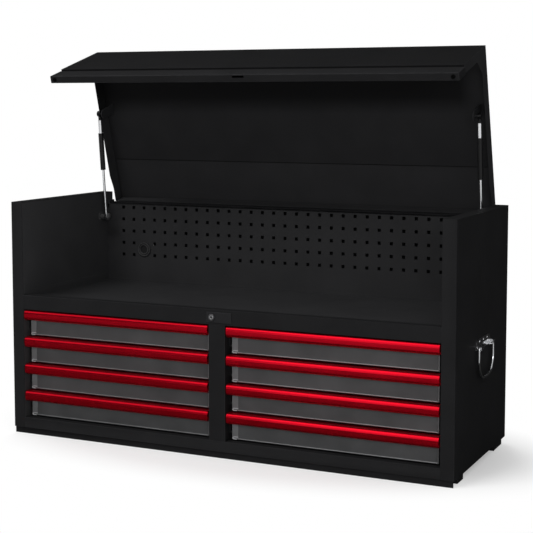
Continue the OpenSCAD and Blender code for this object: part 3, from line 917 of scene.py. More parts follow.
def rounded(shape: bmesh.types.BMesh, name: str, fold: float, rim: float) -> bpy.types.Mesh:
    """Rounds the sharp outer edges, wide folds more than thin rims.

    Args:
        shape: The mesh in edit form, which is used up.
        name: The new mesh's name.
        fold: Rounding where two wide faces meet.
        rim: Rounding along the rims of thin sheet.

    Returns:
        The rounded mesh, with its rounded faces marked as edges.
    """
    edge = shape.faces.layers.float.new("edge")
    for size, steps, wide in ((fold, FOLD_STEPS, True), (rim, RIM_STEPS, False)):
        chosen = [
            e
            for e in shape.edges
            if len(e.link_faces) == 2
            and e.calc_face_angle_signed(0.0) > math.radians(ROUNDED_FROM)
            and (not wide or min(narrowness(f) for f in e.link_faces) > THIN)
        ]
        if size <= 0 or not chosen:
            continue
        made = bmesh.ops.bevel(
            shape,
            geom=chosen,
            offset=size,
            offset_type="OFFSET",
            segments=steps,
            profile=0.5,
            affect="EDGES",
            clamp_overlap=True,
        )
        for face in made["faces"]:
            face[edge] = 1.0
    mesh = bpy.data.meshes.new(name)
    shape.to_mesh(mesh)
    shape.free()
    mesh.shade_smooth()
    mesh.set_sharp_from_angle(angle=math.radians(SHEET_SHARP))
    holder = bpy.data.objects.new(name, mesh)
    bpy.context.scene.collection.objects.link(holder)
    weigh = holder.modifiers.new("weigh", "WEIGHTED_NORMAL")
    weigh.keep_sharp = True
    return settled(holder)


@dataclass(frozen=True)
class Spot:
    """Where a fastener's head sits, and which way it faces."""

    at: Vector
    axis: Vector


@dataclass(frozen=True)
class Turn:
    """A point on a rod's path, with the radius that the rod bends to there."""

    at: Vector
    bend: float = 0.0


def swung(pin: Vector, opening: float, along: float, above: float) -> Pair:
    """Finds where a point of the lid lies with the lid open.

    Args:
        pin: The middle of the hinge's pin.
        opening: The lid's opening angle.
        along: How far ahead of the pin the point lies with the lid shut.
        above: How far above the pin it lies with the lid shut.

    Returns:
        The point's y and z.
    """
    cos, sin = math.cos(opening), math.sin(opening)
    return pin.y - along * cos + above * sin, pin.z + along * sin + above * cos


def level(ends: Pair, place: Pair) -> list[Turn]:
    """Lays a straight path along X.

    Args:
        ends: Where it starts and ends along X.
        place: Its y and z.

    Returns:
        The path's points.
    """
    return [Turn(Vector((x, *place))) for x in ends]


def both_sides(ends: Pair, middle: Vector) -> list[list[Turn]]:
    """Lays the same straight path along X on either side of the chest.

    Args:
        ends: How far from the middle it starts and ends.
        middle: A point with the paths' y and z.

    Returns:
        Both paths.
    """
    place = (middle.y, middle.z)
    return [level((side.value * ends[0], side.value * ends[1]), place) for side in Side]


def hoop(middle: Vector, radius: float, across: Vector, steps: int = 36) -> list[Turn]:
    """Bends a path into an upright ring.

    Args:
        middle: The ring's middle.
        radius: Its radius.
        across: The level direction that it lies in.
        steps: How many straight pieces it has.

    Returns:
        The ring's points, the last one on the first.
    """
    across, up = radius * across, Vector((0, 0, radius))
    angles = [math.tau * i / steps for i in range(steps + 1)]
    return [Turn(middle + math.cos(a) * across + math.sin(a) * up) for a in angles]


@dataclass
class SubAssembly:
    """A group of pieces that are built and dressed together."""

    frame: dict
    pieces: list[bpy.types.Object] = field(default_factory=list)

    def build(self) -> None:
        """Builds and dresses the group's pieces."""
        raise NotImplementedError

    def add(
        self,
        mesh: bpy.types.Mesh,
        name: str,
        body: str,
        finish: Finish,
        slot: str,
        replaces: tuple[str, ...] = (),
    ) -> bpy.types.Object:
        """Puts a finished mesh into the scene as a piece of a body.

        Args:
            mesh: The piece's mesh, in place.
            name: The piece's name.
            body: The body that it rides on.
            finish: Its finish.
            slot: The record's material slot for it; not used.
            replaces: The frame's nodes that it stands for.

        Returns:
            The new piece.
        """
        mesh.materials.clear()
        mesh.materials.append(finish.build())
        piece = bpy.data.objects.new(name, mesh)
        bpy.context.scene.collection.objects.link(piece)
        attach(piece, body)
        if replaces:
            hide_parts(*replaces)
        self.pieces.append(piece)
        LOG.info("%s rides %s: %d faces", name, body, len(mesh.polygons))
        return piece

    def body_of(self, node: str) -> str:
        """The body that a node rides on."""
        return self.frame["nodes"][node]["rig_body"]

    def joint(self, name: str) -> dict:
        """One of the frame's joints."""
        return next(j for j in self.frame["joints"] if j["name"] == name)

    def lid_swing(self) -> tuple[Vector, float]:
        """The middle of the lid's hinge, and the angle that the lid is open by."""
        hinge = self.joint("lid_hinge")
        return Vector(hinge["pos_m"]), math.radians(hinge["range_deg"][1])

    def merged(self, node: str) -> bmesh.types.BMesh:
        """Copies a node's mesh with its triangles joined into flat faces.

        Args:
            node: The frame's node.

        Returns:
            The copy in edit form.
        """
        shape = bmesh.new()
        shape.from_mesh(self.frame["nodes"][node].data)
        bmesh.ops.remove_doubles(shape, verts=shape.verts, dist=SAME_POINT)
        bmesh.ops.dissolve_limit(
            shape, angle_limit=math.radians(SAME_FACE), verts=shape.verts, edges=shape.edges
        )
        bmesh.ops.recalc_face_normals(shape, faces=shape.faces)
        return shape

    def dress(
        self, node: str, finish: Finish, slot: str, fold: float = 0.0016, rim: float = 0.00035
    ) -> bpy.types.Object:
        """Replaces a node by a copy with rounded edges and its finish.

        Args:
            node: The frame's node.
            finish: Its finish.
            slot: The record's material slot for it.
            fold: Rounding where two wide faces meet.
            rim: Rounding along thin rims.

        Returns:
            The new piece.
        """
        name = f"{node}_dressed"
        mesh = rounded(self.merged(node), name, fold, rim)
        return self.add(mesh, name, self.body_of(node), finish, slot, (node,))

    def slab(
        self,
        name: str,
        body: str,
        corners: tuple[Vector, Vector],
        rounding: Pair,
        finish: Finish,
        slot: str,
    ) -> bpy.types.Object:
        """Adds a small straight strip or block.

        Args:
            name: The piece's name.
            body: The body that it rides on.
            corners: Two corners across from each other.
            rounding: How far its folds and its thin rims are rounded.
            finish: Its finish.
            slot: The record's material slot for it.

        Returns:
            The new piece.
        """
        mesh = rounded(block(*corners), name, *rounding)
        return self.add(mesh, name, body, finish, slot)

    def heads(
        self,
        name: str,
        body: str,
        spots: list[Spot],
        size: Pair,
        finish: Finish,
        slot: str,
        kind: HeadKind = HeadKind.RIVET,
    ) -> bpy.types.Object:
        """Sets a row of fastener heads on a body.

        Args:
            name: The piece's name.
            body: The body that they ride on.
            spots: Where each one sits.
            size: The head's radius and height.
            finish: Their finish.
            slot: The record's material slot for them.
            kind: Which head they have.

        Returns:
            The new piece.
        """
        points = bpy.data.meshes.new(f"{name}_points")
        points.from_pydata([tuple(s.at) for s in spots], [], [])
        axes = points.attributes.new("axis", "FLOAT_VECTOR", "POINT")
        axes.data.foreach_set("vector", [c for s in spots for c in s.axis])
        values = {"Radius": size[0], "Height": size[1], "Finish": finish.build()}
        mesh = grown(points, HeadTree(kind).build(), values)
        mesh.set_sharp_from_angle(angle=math.radians(HEAD_SHARP))
        return self.add(mesh, name, body, finish, slot)

    def rods(
        self,
        name: str,
        body: str,
        paths: list[list[Turn]],
        radius: float,
        finish: Finish,
        slot: str,
        replaces: tuple[str, ...] = (),
    ) -> bpy.types.Object:
        """Runs round rods along paths.

        Args:
            name: The piece's name.
            body: The body that they ride on.
            paths: Each rod's points, in order.
            radius: The rods' radius.
            finish: Their finish.
            slot: The record's material slot for them.
            replaces: The frame's nodes that they stand for.

        Returns:
            The new piece.
        """
        turns = [turn for path in paths for turn in path]
        ends = [sum(len(path) for path in paths[: i + 1]) for i in range(len(paths))]
        edges = [(i, i + 1) for i in range(len(turns) - 1) if i + 1 not in ends]
        line = bpy.data.meshes.new(f"{name}_path")
        line.from_pydata([tuple(turn.at) for turn in turns], edges, [])
        bend = line.attributes.new("bend", "FLOAT", "POINT")
        bend.data.foreach_set("value", [turn.bend for turn in turns])
        mesh = grown(line, TubeTree().build(), {"Radius": radius, "Finish": finish.build()})
        mesh.set_sharp_from_angle(angle=math.radians(ROD_SHARP))
        return self.add(mesh, name, body, finish, slot, replaces)


def spread(first: float, last: float, pitch: float) -> list[float]:
    """Spaces values evenly between two ends.

    Args:
        first: The first value.
        last: The last value.
        pitch: About how far apart they lie.

    Returns:
        The values, with both ends.
    """
    steps = max(1, round(abs(last - first) / pitch))
    return [first + (last - first) * i / steps for i in range(steps + 1)]


@dataclass
class Carcass(SubAssembly):
    """The outer panels, rails, divider, feet and their rivets."""

    coat: Finish = BLACK_COAT
    slot: str = "carcass_powder_coat"
    rivet: Pair = (0.0036, 0.0014)
    rivet_in: float = 0.012
    rivet_top: float = 0.048
    rivet_pitch: float = 0.105

    def build(self) -> None:
        """Builds and dresses the carcass."""
        for side in Side:
            self.dress(f"{side.label}_side_panel", self.coat, self.slot)
        for node in ("back_panel", "base_pan", "front_top_rail", "centre_divider"):
            self.dress(node, self.coat, self.slot, fold=0.0014)
        self.dress("feet", BLACK_PLASTIC, "black_plastic", fold=0.0025)
        self.back_rivets()

    def back_rivets(self) -> None:
        """Rivets the rear skin along its foot and up both sides."""
        low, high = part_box("back_panel")
        out = Vector((0, 1, 0))
        foot = low.z + self.rivet_in
        xs = spread(low.x + self.rivet_in, high.x - self.rivet_in, self.rivet_pitch)
        zs = spread(foot, high.z - self.rivet_top, self.rivet_pitch)
        spots = [Spot(Vector((x, high.y, foot)), out) for x in xs]
        for x in (xs[0], xs[-1]):
            spots += [Spot(Vector((x, high.y, z)), out) for z in zs[1:]]
        self.heads("back_rivets", "carcass", spots, self.rivet, self.coat, self.slot)


@dataclass
class Tray(SubAssembly):
    """The upper tray: its floor, inner walls, pegboard and plug."""

    coat: Finish = TRAY_LIT_COAT
    slot: str = "tray_powder_coat"
    hoops: Pair = (0.0205, 0.0145)
    hoop_radius: float = 0.0013
    flange: Pair = (0.012, 0.0012)
    corner: Pair = (0.0072, 0.013)

    def build(self) -> None:
        """Builds and dresses the tray."""
        self.dress("inner_walls", INNER_WALL_LIT_COAT, self.slot)
        self.dress("tray_floor", self.coat, self.slot)
        self.dress("pegboard", self.coat, self.slot, fold=0.0, rim=0.0003)
        self.dress("cable_grommet", BLACK_PLASTIC, "black_plastic", rim=0.0008)
        self.plug_hoops()
        self.wall_flanges()
        self.corner_blocks()

    def wall_flanges(self) -> None:
        """Turns the tray's floor up along both side walls."""
        low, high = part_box("tray_floor")
        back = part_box("pegboard")[0].y
        tall, thick = self.flange
        for side in Side:
            wall = side.face_of("tray_floor")
            corners = (
                Vector((wall, low.y + thick, high.z - thick)),
                Vector((wall - side.value * thick, back, high.z + tall)),
            )
            name = f"{side.label}_tray_flange"
            self.slab(name, "carcass", corners, (0.0008, 0.0004), INNER_WALL_LIT_COAT, self.slot)

    def corner_blocks(self) -> None:
        """Fills the rear corners beside the lid with small folded blocks."""
        pegs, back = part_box("pegboard"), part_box("back_panel")
        wide, half = self.corner
        for side in Side:
            wall = side.face_of("tray_floor")
            corners = (
                Vector((wall, pegs[0].y, pegs[1].z - half)),
                Vector((wall - side.value * wide, back[1].y, pegs[1].z + half)),
            )
            name = f"{side.label}_corner_block"
            self.slab(name, "carcass", corners, (0.0012, 0.0006), self.coat, self.slot)

    def plug_hoops(self) -> None:
        """Raises two rings on the plug in the pegboard."""
        low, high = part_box("cable_grommet")
        middle = Vector(((low.x + high.x) / 2, low.y, (low.z + high.z) / 2))
        paths = [hoop(middle, radius, Vector((1, 0, 0))) for radius in self.hoops]
        self.rods(
            "plug_hoops", "carcass", paths, self.hoop_radius, PLUG_GREY, "black_plastic"
        )


@dataclass
class Hinge(SubAssembly):
    """The long hinge across the back, with its rivets."""

    steel: Finish = HINGE_STEEL
    slot: str = "hinge_steel"
    leaf: float = 0.0012
    rivet: Pair = (0.0034, 0.0013)
    rivet_drop: float = 0.0145
    rivet_in: float = 0.03
    rivet_pitch: float = 0.122
    seal_at: Pair = (0.0018, 0.0048)
    seal_radius: float = 0.0006
    knuckle: float = 0.0035
    gutter_gap: float = 0.0008
    gutter_t: float = 0.0012
    cap: float = 0.0037
    cap_gap: float = 0.0062

    def build(self) -> None:
        """Builds and dresses the hinge."""
        self.dress("hinge_body_leaf", self.steel, self.slot, rim=0.0002)
        self.dress("hinge_lid_leaf", self.steel, self.slot, rim=0.0002)
        self.dress("hinge_pin", ZINC, "zinc_steel", rim=0.0006)
        self.leaf_rivets()
        self.seal()
        self.end_caps()
        self.gutter()

    def end_caps(self) -> None:
        """Caps both ends of the pin where the leaves stop short of the walls."""
        pin, _ = self.lid_swing()
        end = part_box("hinge_body_leaf")[1].x - self.cap
        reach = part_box("tray_floor")[1].x - self.cap_gap
        paths = both_sides((end, reach), pin)
        self.rods("hinge_end_caps", "carcass", paths, self.cap, self.steel, self.slot)

    def seal(self) -> None:
        """Lays a thin seal on the lid's leaf, where it meets the knuckles."""
        low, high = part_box("lid_shell")
        place = swung(*self.lid_swing(), *self.seal_at)
        path = level((low.x, high.x), place)
        self.rods("hinge_seal", "lid", [path], self.seal_radius, RUBBER, "bumper_rubber")

    def gutter(self) -> None:
        """Folds a narrow gutter under the knuckles, along the rear panel's top."""
        pin, _ = self.lid_swing()
        low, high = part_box("hinge_body_leaf")
        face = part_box("back_panel")[1].y
        top = pin.z - self.knuckle - self.gutter_gap
        corners = (
            Vector((low.x, face - self.gutter_t, top - self.gutter_t)),
            Vector((high.x, pin.y + self.knuckle, top)),
        )
        self.slab("hinge_gutter", "carcass", corners, (0.0003, 0.0002), self.steel, self.slot)

    def leaf_rivets(self) -> None:
        """Rivets both leaves along their length."""
        pin, opening = self.lid_swing()
        low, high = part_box("hinge_body_leaf")
        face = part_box("back_panel")[1].y + self.leaf
        xs = spread(low.x + self.rivet_in, high.x - self.rivet_in, self.rivet_pitch)
        shut = ((face, pin.z - self.rivet_drop), (1, 0))
        seat = swung(pin, opening, pin.y - face, self.rivet_drop)
        lifted = (seat, (math.cos(opening), -math.sin(opening)))
        rows = (("body", "carcass", shut), ("lid", "lid", lifted))
        for name, body, (place, out) in rows:
            spots = [Spot(Vector((x, *place)), Vector((0, *out))) for x in xs]
            self.heads(f"hinge_{name}_rivets", body, spots, self.rivet, self.steel, self.slot)


@dataclass
class Lid(SubAssembly):
    """The lifting lid with its lip, stiffening plate and rubber buttons."""

    coat: Finish = LID_COAT
    slot: str = "lid_powder_coat"
    skin: float = 0.0358
    bead: float = 0.0013
    liner_depth: Pair = (0.0046, 0.0058)
    liner_height: Pair = (0.0058, 0.0354)
    sideways: float = 0.7

    def build(self) -> None:
        """Builds and dresses the lid."""
        self.coat_shell(self.dress("lid_shell", self.coat, self.slot, fold=0.0022))
        self.dress("lid_lip", LIP_COAT, self.slot, fold=0.0022)
        self.dress("lid_stiffener", STIFFENER_LIT_COAT, self.slot, rim=0.0004)
        self.dress("lid_bumpers", BUMPER_SHADED_RUBBER, "bumper_rubber", rim=0.0008)
        # The brackets take the stiffener's lighter copy of the coat: painted light, as they lie
        # in shade
        self.dress("strut_brackets", STIFFENER_LIT_COAT, "strut_black", rim=0.0003)
        self.seam()
        self.flange_liner()

    def coat_shell(self, shell: bpy.types.Object) -> None:
        """Gives the shell's outside and its side flanges lighter or darker copies of its coat,
        by which way each face turns: painted light and shade.

        Args:
            shell: The dressed shell, with its inner coat on it.
        """
        for coat in (LID_OUTSIDE_SHADED_COAT, LID_SIDE_LIT_COAT, LID_FLANGE_LIT_COAT):
            shell.data.materials.append(coat.build())
        low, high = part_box("lid_shell")
        middle = (low + high) / 2
        for face in shell.data.polygons:
            outward = face.normal.dot(face.center - middle) > 0
            if abs(face.normal.x) > self.sideways:
                part = ShellCoat.SIDE if outward else ShellCoat.FLANGE
            else:
                part = ShellCoat.OUTSIDE if outward else ShellCoat.INNER
            face.material_index = part.value

    def flange_liner(self) -> None:
        """Lays a thin strip, as wide as the stiffening plate, over the lid's rear flange, in
        the lighter inner-wall coat: painted light on a flange that lies in shade.
        """
        pin, opening = self.lid_swing()
        low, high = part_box("lid_stiffener")
        near, far = zip(self.liner_depth, self.liner_height)
        shape = block(Vector((low.x, *near)), Vector((high.x, *far)))
        for vert in shape.verts:
            vert.co = Vector((vert.co.x, *swung(pin, opening, vert.co.y, vert.co.z)))
        bmesh.ops.recalc_face_normals(shape, faces=shape.faces)
        mesh = rounded(shape, "lid_flange_liner", fold=0.0003, rim=0.0002)
        self.add(mesh, "lid_flange_liner", "lid", INNER_WALL_LIT_COAT, self.slot)

    def seam(self) -> None:
        """Runs a dark bead along the stiffening plate's front edge: painted shade, the thin
        shadow line along that edge.
        """
        pin, opening = self.lid_swing()
        low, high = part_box("lid_stiffener")
        edge = (high.z - pin.z - self.skin * math.cos(opening)) / math.sin(opening)
        path = level((low.x, high.x), swung(pin, opening, edge + self.bead, self.skin))
        self.rods("lid_seam", "lid", [path], self.bead, RUBBER, "bumper_rubber")


@dataclass
class Struts(SubAssembly):
    """The two gas struts that hold the lid up, with their bright sleeves."""

    cylinder: float = 0.008
    eye: float = 0.009
    eye_half: float = 0.005
    sleeve: Pair = (0.0615, 0.0205)
    sleeve_radius: float = 0.0058
    socket: Pair = (0.0115, 0.008)
    ring: float = 0.0008
    ring_at: Pair = (0.62, 0.7)
    boot: float = 0.0085
    boot_gap: float = 0.0005

    def build(self) -> None:
        """Builds and dresses the struts."""
        self.dress("strut_rods", CHROME, "strut_chrome", rim=0.0006)
        self.dress("strut_cylinders", STRUT_BLACK, "strut_black", rim=0.0009)
        self.dress("strut_studs", PLUG_GREY, "zinc_steel", rim=0.0006)
        self.sockets()
        self.boots()
        self.sleeves()

    def sockets(self) -> None:
        """Caps each strut's lower end with a round socket and its spring ring."""
        node = self.frame["nodes"]["strut_studs"]
        inner = min(abs((node.matrix_world @ v.co).x) for v in node.data.vertices)
        _, y, z = self.joint("strut_swing")["pos_m"]
        radius, height = self.socket
        reach, rise = self.ring_at[0] * radius, self.ring_at[1] * height
        spots = []
        for side in Side:
            seat = Vector((side.value * inner, y, z))
            spots.append(Spot(seat, Vector((-side.value, 0, 0))))
        rings = [hoop(s.at + rise * s.axis, reach, Vector((0, 1, 0))) for s in spots]
        body = self.body_of("strut_studs")
        self.heads("strut_sockets", body, spots, self.socket, PLUG_GREY, "strut_black")
        self.rods("strut_rings", body, rings, self.ring, PLUG_GREY, "zinc_steel")

    def boots(self) -> None:
        """Slips a dust boot over each stud, between the wall and the strut."""
        pivot = Vector(self.joint("strut_swing")["pos_m"])
        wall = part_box("tray_floor")[1].x - self.boot_gap
        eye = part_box("strut_cylinders")[1].x - self.cylinder + self.eye_half
        paths = both_sides((wall, eye), pivot)
        body = self.body_of("strut_studs")
        self.rods("strut_boots", body, paths, self.boot, PLUG_GREY, "strut_black")

    def sleeves(self) -> None:
        """Slips a bright sleeve over the neck of each strut."""
        pivot = Vector(self.joint("strut_swing")["pos_m"])
        way = Vector(self.joint("strut_stroke")["axis"])
        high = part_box("strut_cylinders")[1]
        length = (high.z - self.eye - pivot.z) / way.z
        paths = []
        for side in Side:
            foot = Vector((side.value * (high.x - self.cylinder), pivot.y, pivot.z))
            paths.append([Turn(foot + way * (length - back)) for back in self.sleeve])
        radius, body = self.sleeve_radius, "strut_cylinders"
        self.rods("strut_sleeves", body, paths, radius, CHROME, "strut_chrome")


@dataclass
class Drawer(SubAssembly):
    """One drawer with its pull, slides and fasteners."""

    side: Side = Side.LEFT
    row: int = 1
    sheet: float = 0.0012
    wall_in: float = 0.003
    rivet: Pair = (0.003, 0.0011)
    rivet_ends: Pair = (0.045, 0.03)
    screw: Pair = (0.0038, 0.0016)
    screw_in: float = 0.05
    screw_pitch: float = 0.16
    screw_rise: float = 0.009
    hem: Pair = (0.003, 0.004)
    strip: Pair = (0.018, 0.0008)
    wire: float = 0.0013
    clip: tuple[float, float, float] = (0.9, 0.3, 1.05)
    roll: float = 0.0019
    roll_in: Pair = (0.8, 0.2)

    @property
    def name(self) -> str:
        """The drawer's body."""
        return f"{self.side.label}_drawer_{self.row}"

    def build(self) -> None:
        """Builds and dresses the drawer."""
        self.dress(f"{self.name}_pan", DRAWER_GREY, "drawer_grey", fold=0.001)
        self.dress(f"{self.name}_pull", PULL_RED, "pull_red", fold=0.0008, rim=0.0006)
        for node in (f"{self.name}_runners", f"{self.name}_middle"):
            self.dress(node, SLIDE_BLACK, "slide_steel", rim=0.0003)
        self.pull_screws()
        self.slide_rivets()
        self.edge_roll()
        self.end_strip()
        self.end_clip()

    def pull_screws(self) -> None:
        """Sets the screws that hold the pull, behind the drawer's front."""
        low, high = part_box(f"{self.name}_pull")
        xs = spread(low.x + self.screw_in, high.x - self.screw_in, self.screw_pitch)
        seat = (high.y + self.sheet, low.z + self.screw_rise)
        spots = [Spot(Vector((x, *seat)), Vector((0, 1, 0))) for x in xs]
        name, kind = f"{self.name}_pull_screws", HeadKind.SCREW
        self.heads(name, self.name, spots, self.screw, ZINC, "zinc_steel", kind)

    def slide_rivets(self) -> None:
        """Sets the rivets that hold the runners, inside the drawer."""
        low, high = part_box(f"{self.name}_runners")
        middle = (low + high) / 2
        left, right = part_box(f"{self.name}_pan")
        half = (right.x - left.x) / 2 - self.wall_in - self.sheet
        front, back = self.rivet_ends
        spots = [
            Spot(Vector((middle.x + end * half, y, middle.z)), Vector((-end, 0, 0)))
            for end in (-1, 1)
            for y in (low.y + front, middle.y, high.y - back)
        ]
        name = f"{self.name}_slide_rivets"
        self.heads(name, self.name, spots, self.rivet, ZINC, "zinc_steel")

    def edge_roll(self) -> None:
        """Rolls an edge along the front's foot and up its right end, in a lighter steel that is
        a painted highlight along these edges.
        """
        low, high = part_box(f"{self.name}_pan")
        pull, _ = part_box(f"{self.name}_pull")
        foot, right = low.z + self.roll, high.x - self.roll
        y = low.y + self.roll_in[0] * self.roll
        y_top = low.y + self.hem[0] - self.roll_in[1] * self.roll
        path = [
            Turn(Vector((low.x + self.strip[0], y, foot))),
            Turn(Vector((right, y, foot)), 2 * self.roll),
            Turn(Vector((right, y_top, pull.z))),
        ]
        name = f"{self.name}_edge_roll"
        self.rods(name, self.name, [path], self.roll, HEM_HIGHLIGHT_STEEL, "drawer_grey")

    def end_strip(self) -> None:
        """Lays the lighter strip down the left end of the drawer's front."""
        low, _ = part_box(f"{self.name}_pan")
        pull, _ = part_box(f"{self.name}_pull")
        hem_t, hem_h = self.hem
        wide, thick = self.strip
        face = low.y + hem_t
        corners = (
            Vector((low.x, face - thick, low.z + hem_h)),
            Vector((low.x + wide, face + thick, pull.z)),
        )
        name = f"{self.name}_end_strip"
        self.slab(name, self.name, corners, (0.0005, 0.0003), STRIP_GREY, "drawer_grey")

    def end_clip(self) -> None:
        """Bends the bright wire clip at the foot of that strip."""
        low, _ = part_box(f"{self.name}_pan")
        hem_t, hem_h = self.hem
        wide, thick = self.strip
        start, bent, end = (low.x + share * wide for share in self.clip)
        foot = (low.y - self.wire, low.z + self.wire)
        upper = (low.y + hem_t - thick - self.wire, low.z + hem_h + 2 * self.wire)
        path = [
            Turn(Vector((start, *foot))),
            Turn(Vector((low.x + self.wire, *foot)), 2 * self.wire),
            Turn(Vector((bent, *upper)), 2 * self.wire),
            Turn(Vector((end, *upper))),
        ]
        self.rods(f"{self.name}_clip", self.name, [path], self.wire, CLIP_STEEL, "zinc_steel")


@dataclass
class Slides(SubAssembly):
    """The fixed outer members of the drawer slides."""

    def build(self) -> None:
        """Builds and dresses the fixed slide members."""
        self.dress("slide_rails", SLIDE_BLACK, "slide_steel", rim=0.0003)


@dataclass
class Lock(SubAssembly):
    """The lock and the plain plate round it."""

    ring_reach: float = 0.0046
    ring: float = 0.0011
    ring_sunk: float = 0.0008

    def build(self) -> None:
        """Builds and dresses the lock."""
        self.dress("lock_plate", LOCK_GREY, "lock_plate_black", fold=0.0006, rim=0.0006)
        self.dress("lock_barrel", LOCK_SHADED_CHROME, "lock_chrome", rim=0.0005)
        self.face_ring()

    def face_ring(self) -> None:
        """Raises a bright ring on the lock's face, round the keyway."""
        x, _, z = self.joint("lock_turn")["pos_m"]
        middle = Vector((x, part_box("lock_barrel")[0].y + self.ring_sunk, z))
        ring = hoop(middle, self.ring_reach, Vector((1, 0, 0)))
        body = self.body_of("lock_barrel")
        self.rods("lock_face_ring", body, [ring], self.ring, ZINC, "lock_chrome")


@dataclass
class SideHandle(SubAssembly):
    """One folding side handle: its bail on the riveted plate's ears."""

    side: Side = Side.RIGHT
    rod: float = 0.004
    bend: float = 0.05
    pivot_in: float = 0.02
    plate: float = 0.002
    rivet: Pair = (0.0042, 0.0022)
    rivet_drop: float = 0.009
    rivet_row: tuple[float, float, float] = (-0.036, 0.0, 0.036)

    def build(self) -> None:
        """Builds and dresses the bail and the plate's rivets."""
        self.bail()
        self.plate_rivets()

    def bail(self) -> None:
        """Bends the bail's rod along its path."""
        node = f"{self.side.label}_handle_bail"
        low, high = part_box(node)
        x = (low.x + high.x) / 2
        y0, y1 = low.y + self.rod, high.y - self.rod
        foot, top = low.z + self.rod, high.z - self.rod
        path = [
            Turn(Vector((x, y0 + self.pivot_in, top))),
            Turn(Vector((x, y0, top)), self.rod),
            Turn(Vector((x, y0, foot)), self.bend),
            Turn(Vector((x, y1, foot)), self.bend),
            Turn(Vector((x, y1, top)), self.rod),
            Turn(Vector((x, y1 - self.pivot_in, top))),
        ]
        body = f"{self.side.label}_handle"
        name = f"{node}_dressed"
        self.rods(name, body, [path], self.rod, HANDLE_CHROME, "handle_chrome", (node,))

    def plate_rivets(self) -> None:
        """Rivets the handle's plate to the side panel."""
        low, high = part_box("handle_plates")
        out = Vector((self.side.value, 0, 0))
        panel = self.side.face_of(f"{self.side.label}_side_panel")
        seat = Vector((panel, (low.y + high.y) / 2, high.z - self.rivet_drop))
        seat += self.plate * out
        spots = [Spot(seat + Vector((0, y, 0)), out) for y in self.rivet_row]
        name = f"{self.side.label}_handle_rivets"
        self.heads(name, "carcass", spots, self.rivet, HANDLE_CHROME, "handle_chrome")


@dataclass
class HandlePlates(SubAssembly):
    """The chromed plates that carry the bails."""

    def build(self) -> None:
        """Builds and dresses both plates."""
        self.dress("handle_plates", HANDLE_CHROME, "handle_chrome", fold=0.0006, rim=0.0005)


@dataclass(frozen=True)
class Lamp:
    """A soft lamp: where it hangs, its two sides, and its power in watts."""

    name: str
    at: Vector
    size: Pair
    power: float
    mirrored: bool = True


@dataclass(frozen=True)
class Card:
    """A dark or glowing card that only reflections see, from a corner along two edges."""

    name: str
    corner: Vector
    across: Vector
    up: Vector
    glow: float = 0.0


LAMPS = (
    Lamp("key", Vector((-1.3, -2.5, 4.3)), (2.8, 0.9), 125, mirrored=False),
    Lamp("back", Vector((-2.2, 3.6, 2.6)), (3.0, 2.0), 110, mirrored=False),
    Lamp("fill", Vector((2.8, -3.8, 1.7)), (2.6, 0.8), 46),
)
TALL = Vector((0, 0, 2.6))
CARDS = (
    Card(
        "softbox",
        Vector((-1.85, -3.6, 2.6)),
        Vector((1.6, 0, 0)),
        Vector((0, 3.0, 1.6)),
        glow=2.3,
    ),
    Card(
        "softbox_low",
        Vector((-1.35, -3.6, 0.02)),
        Vector((0.95, 0, 0)),
        Vector((0, 0, 2.58)),
        glow=1.6,
    ),
    Card("card_behind", Vector((-3.0, 0.9, 0.0)), Vector((6.2, 0, 0)), TALL),
    Card("card_right", Vector((3.2, -0.8, 0.0)), Vector((0, 1.7, 0)), TALL),
    Card("card_left", Vector((-4.4, -3.2, 0.0)), Vector((3.0, 0, 0)), TALL),
    Card("card_front", Vector((-3.0, -2.2, 0.0005)), Vector((3.72, 0, 0)), Vector((0, 3.1, 0))),
    Card("card_side", Vector((0.72, -0.9, 0.0005)), Vector((2.48, 0, 0)), Vector((0, 1.8, 0))),
)


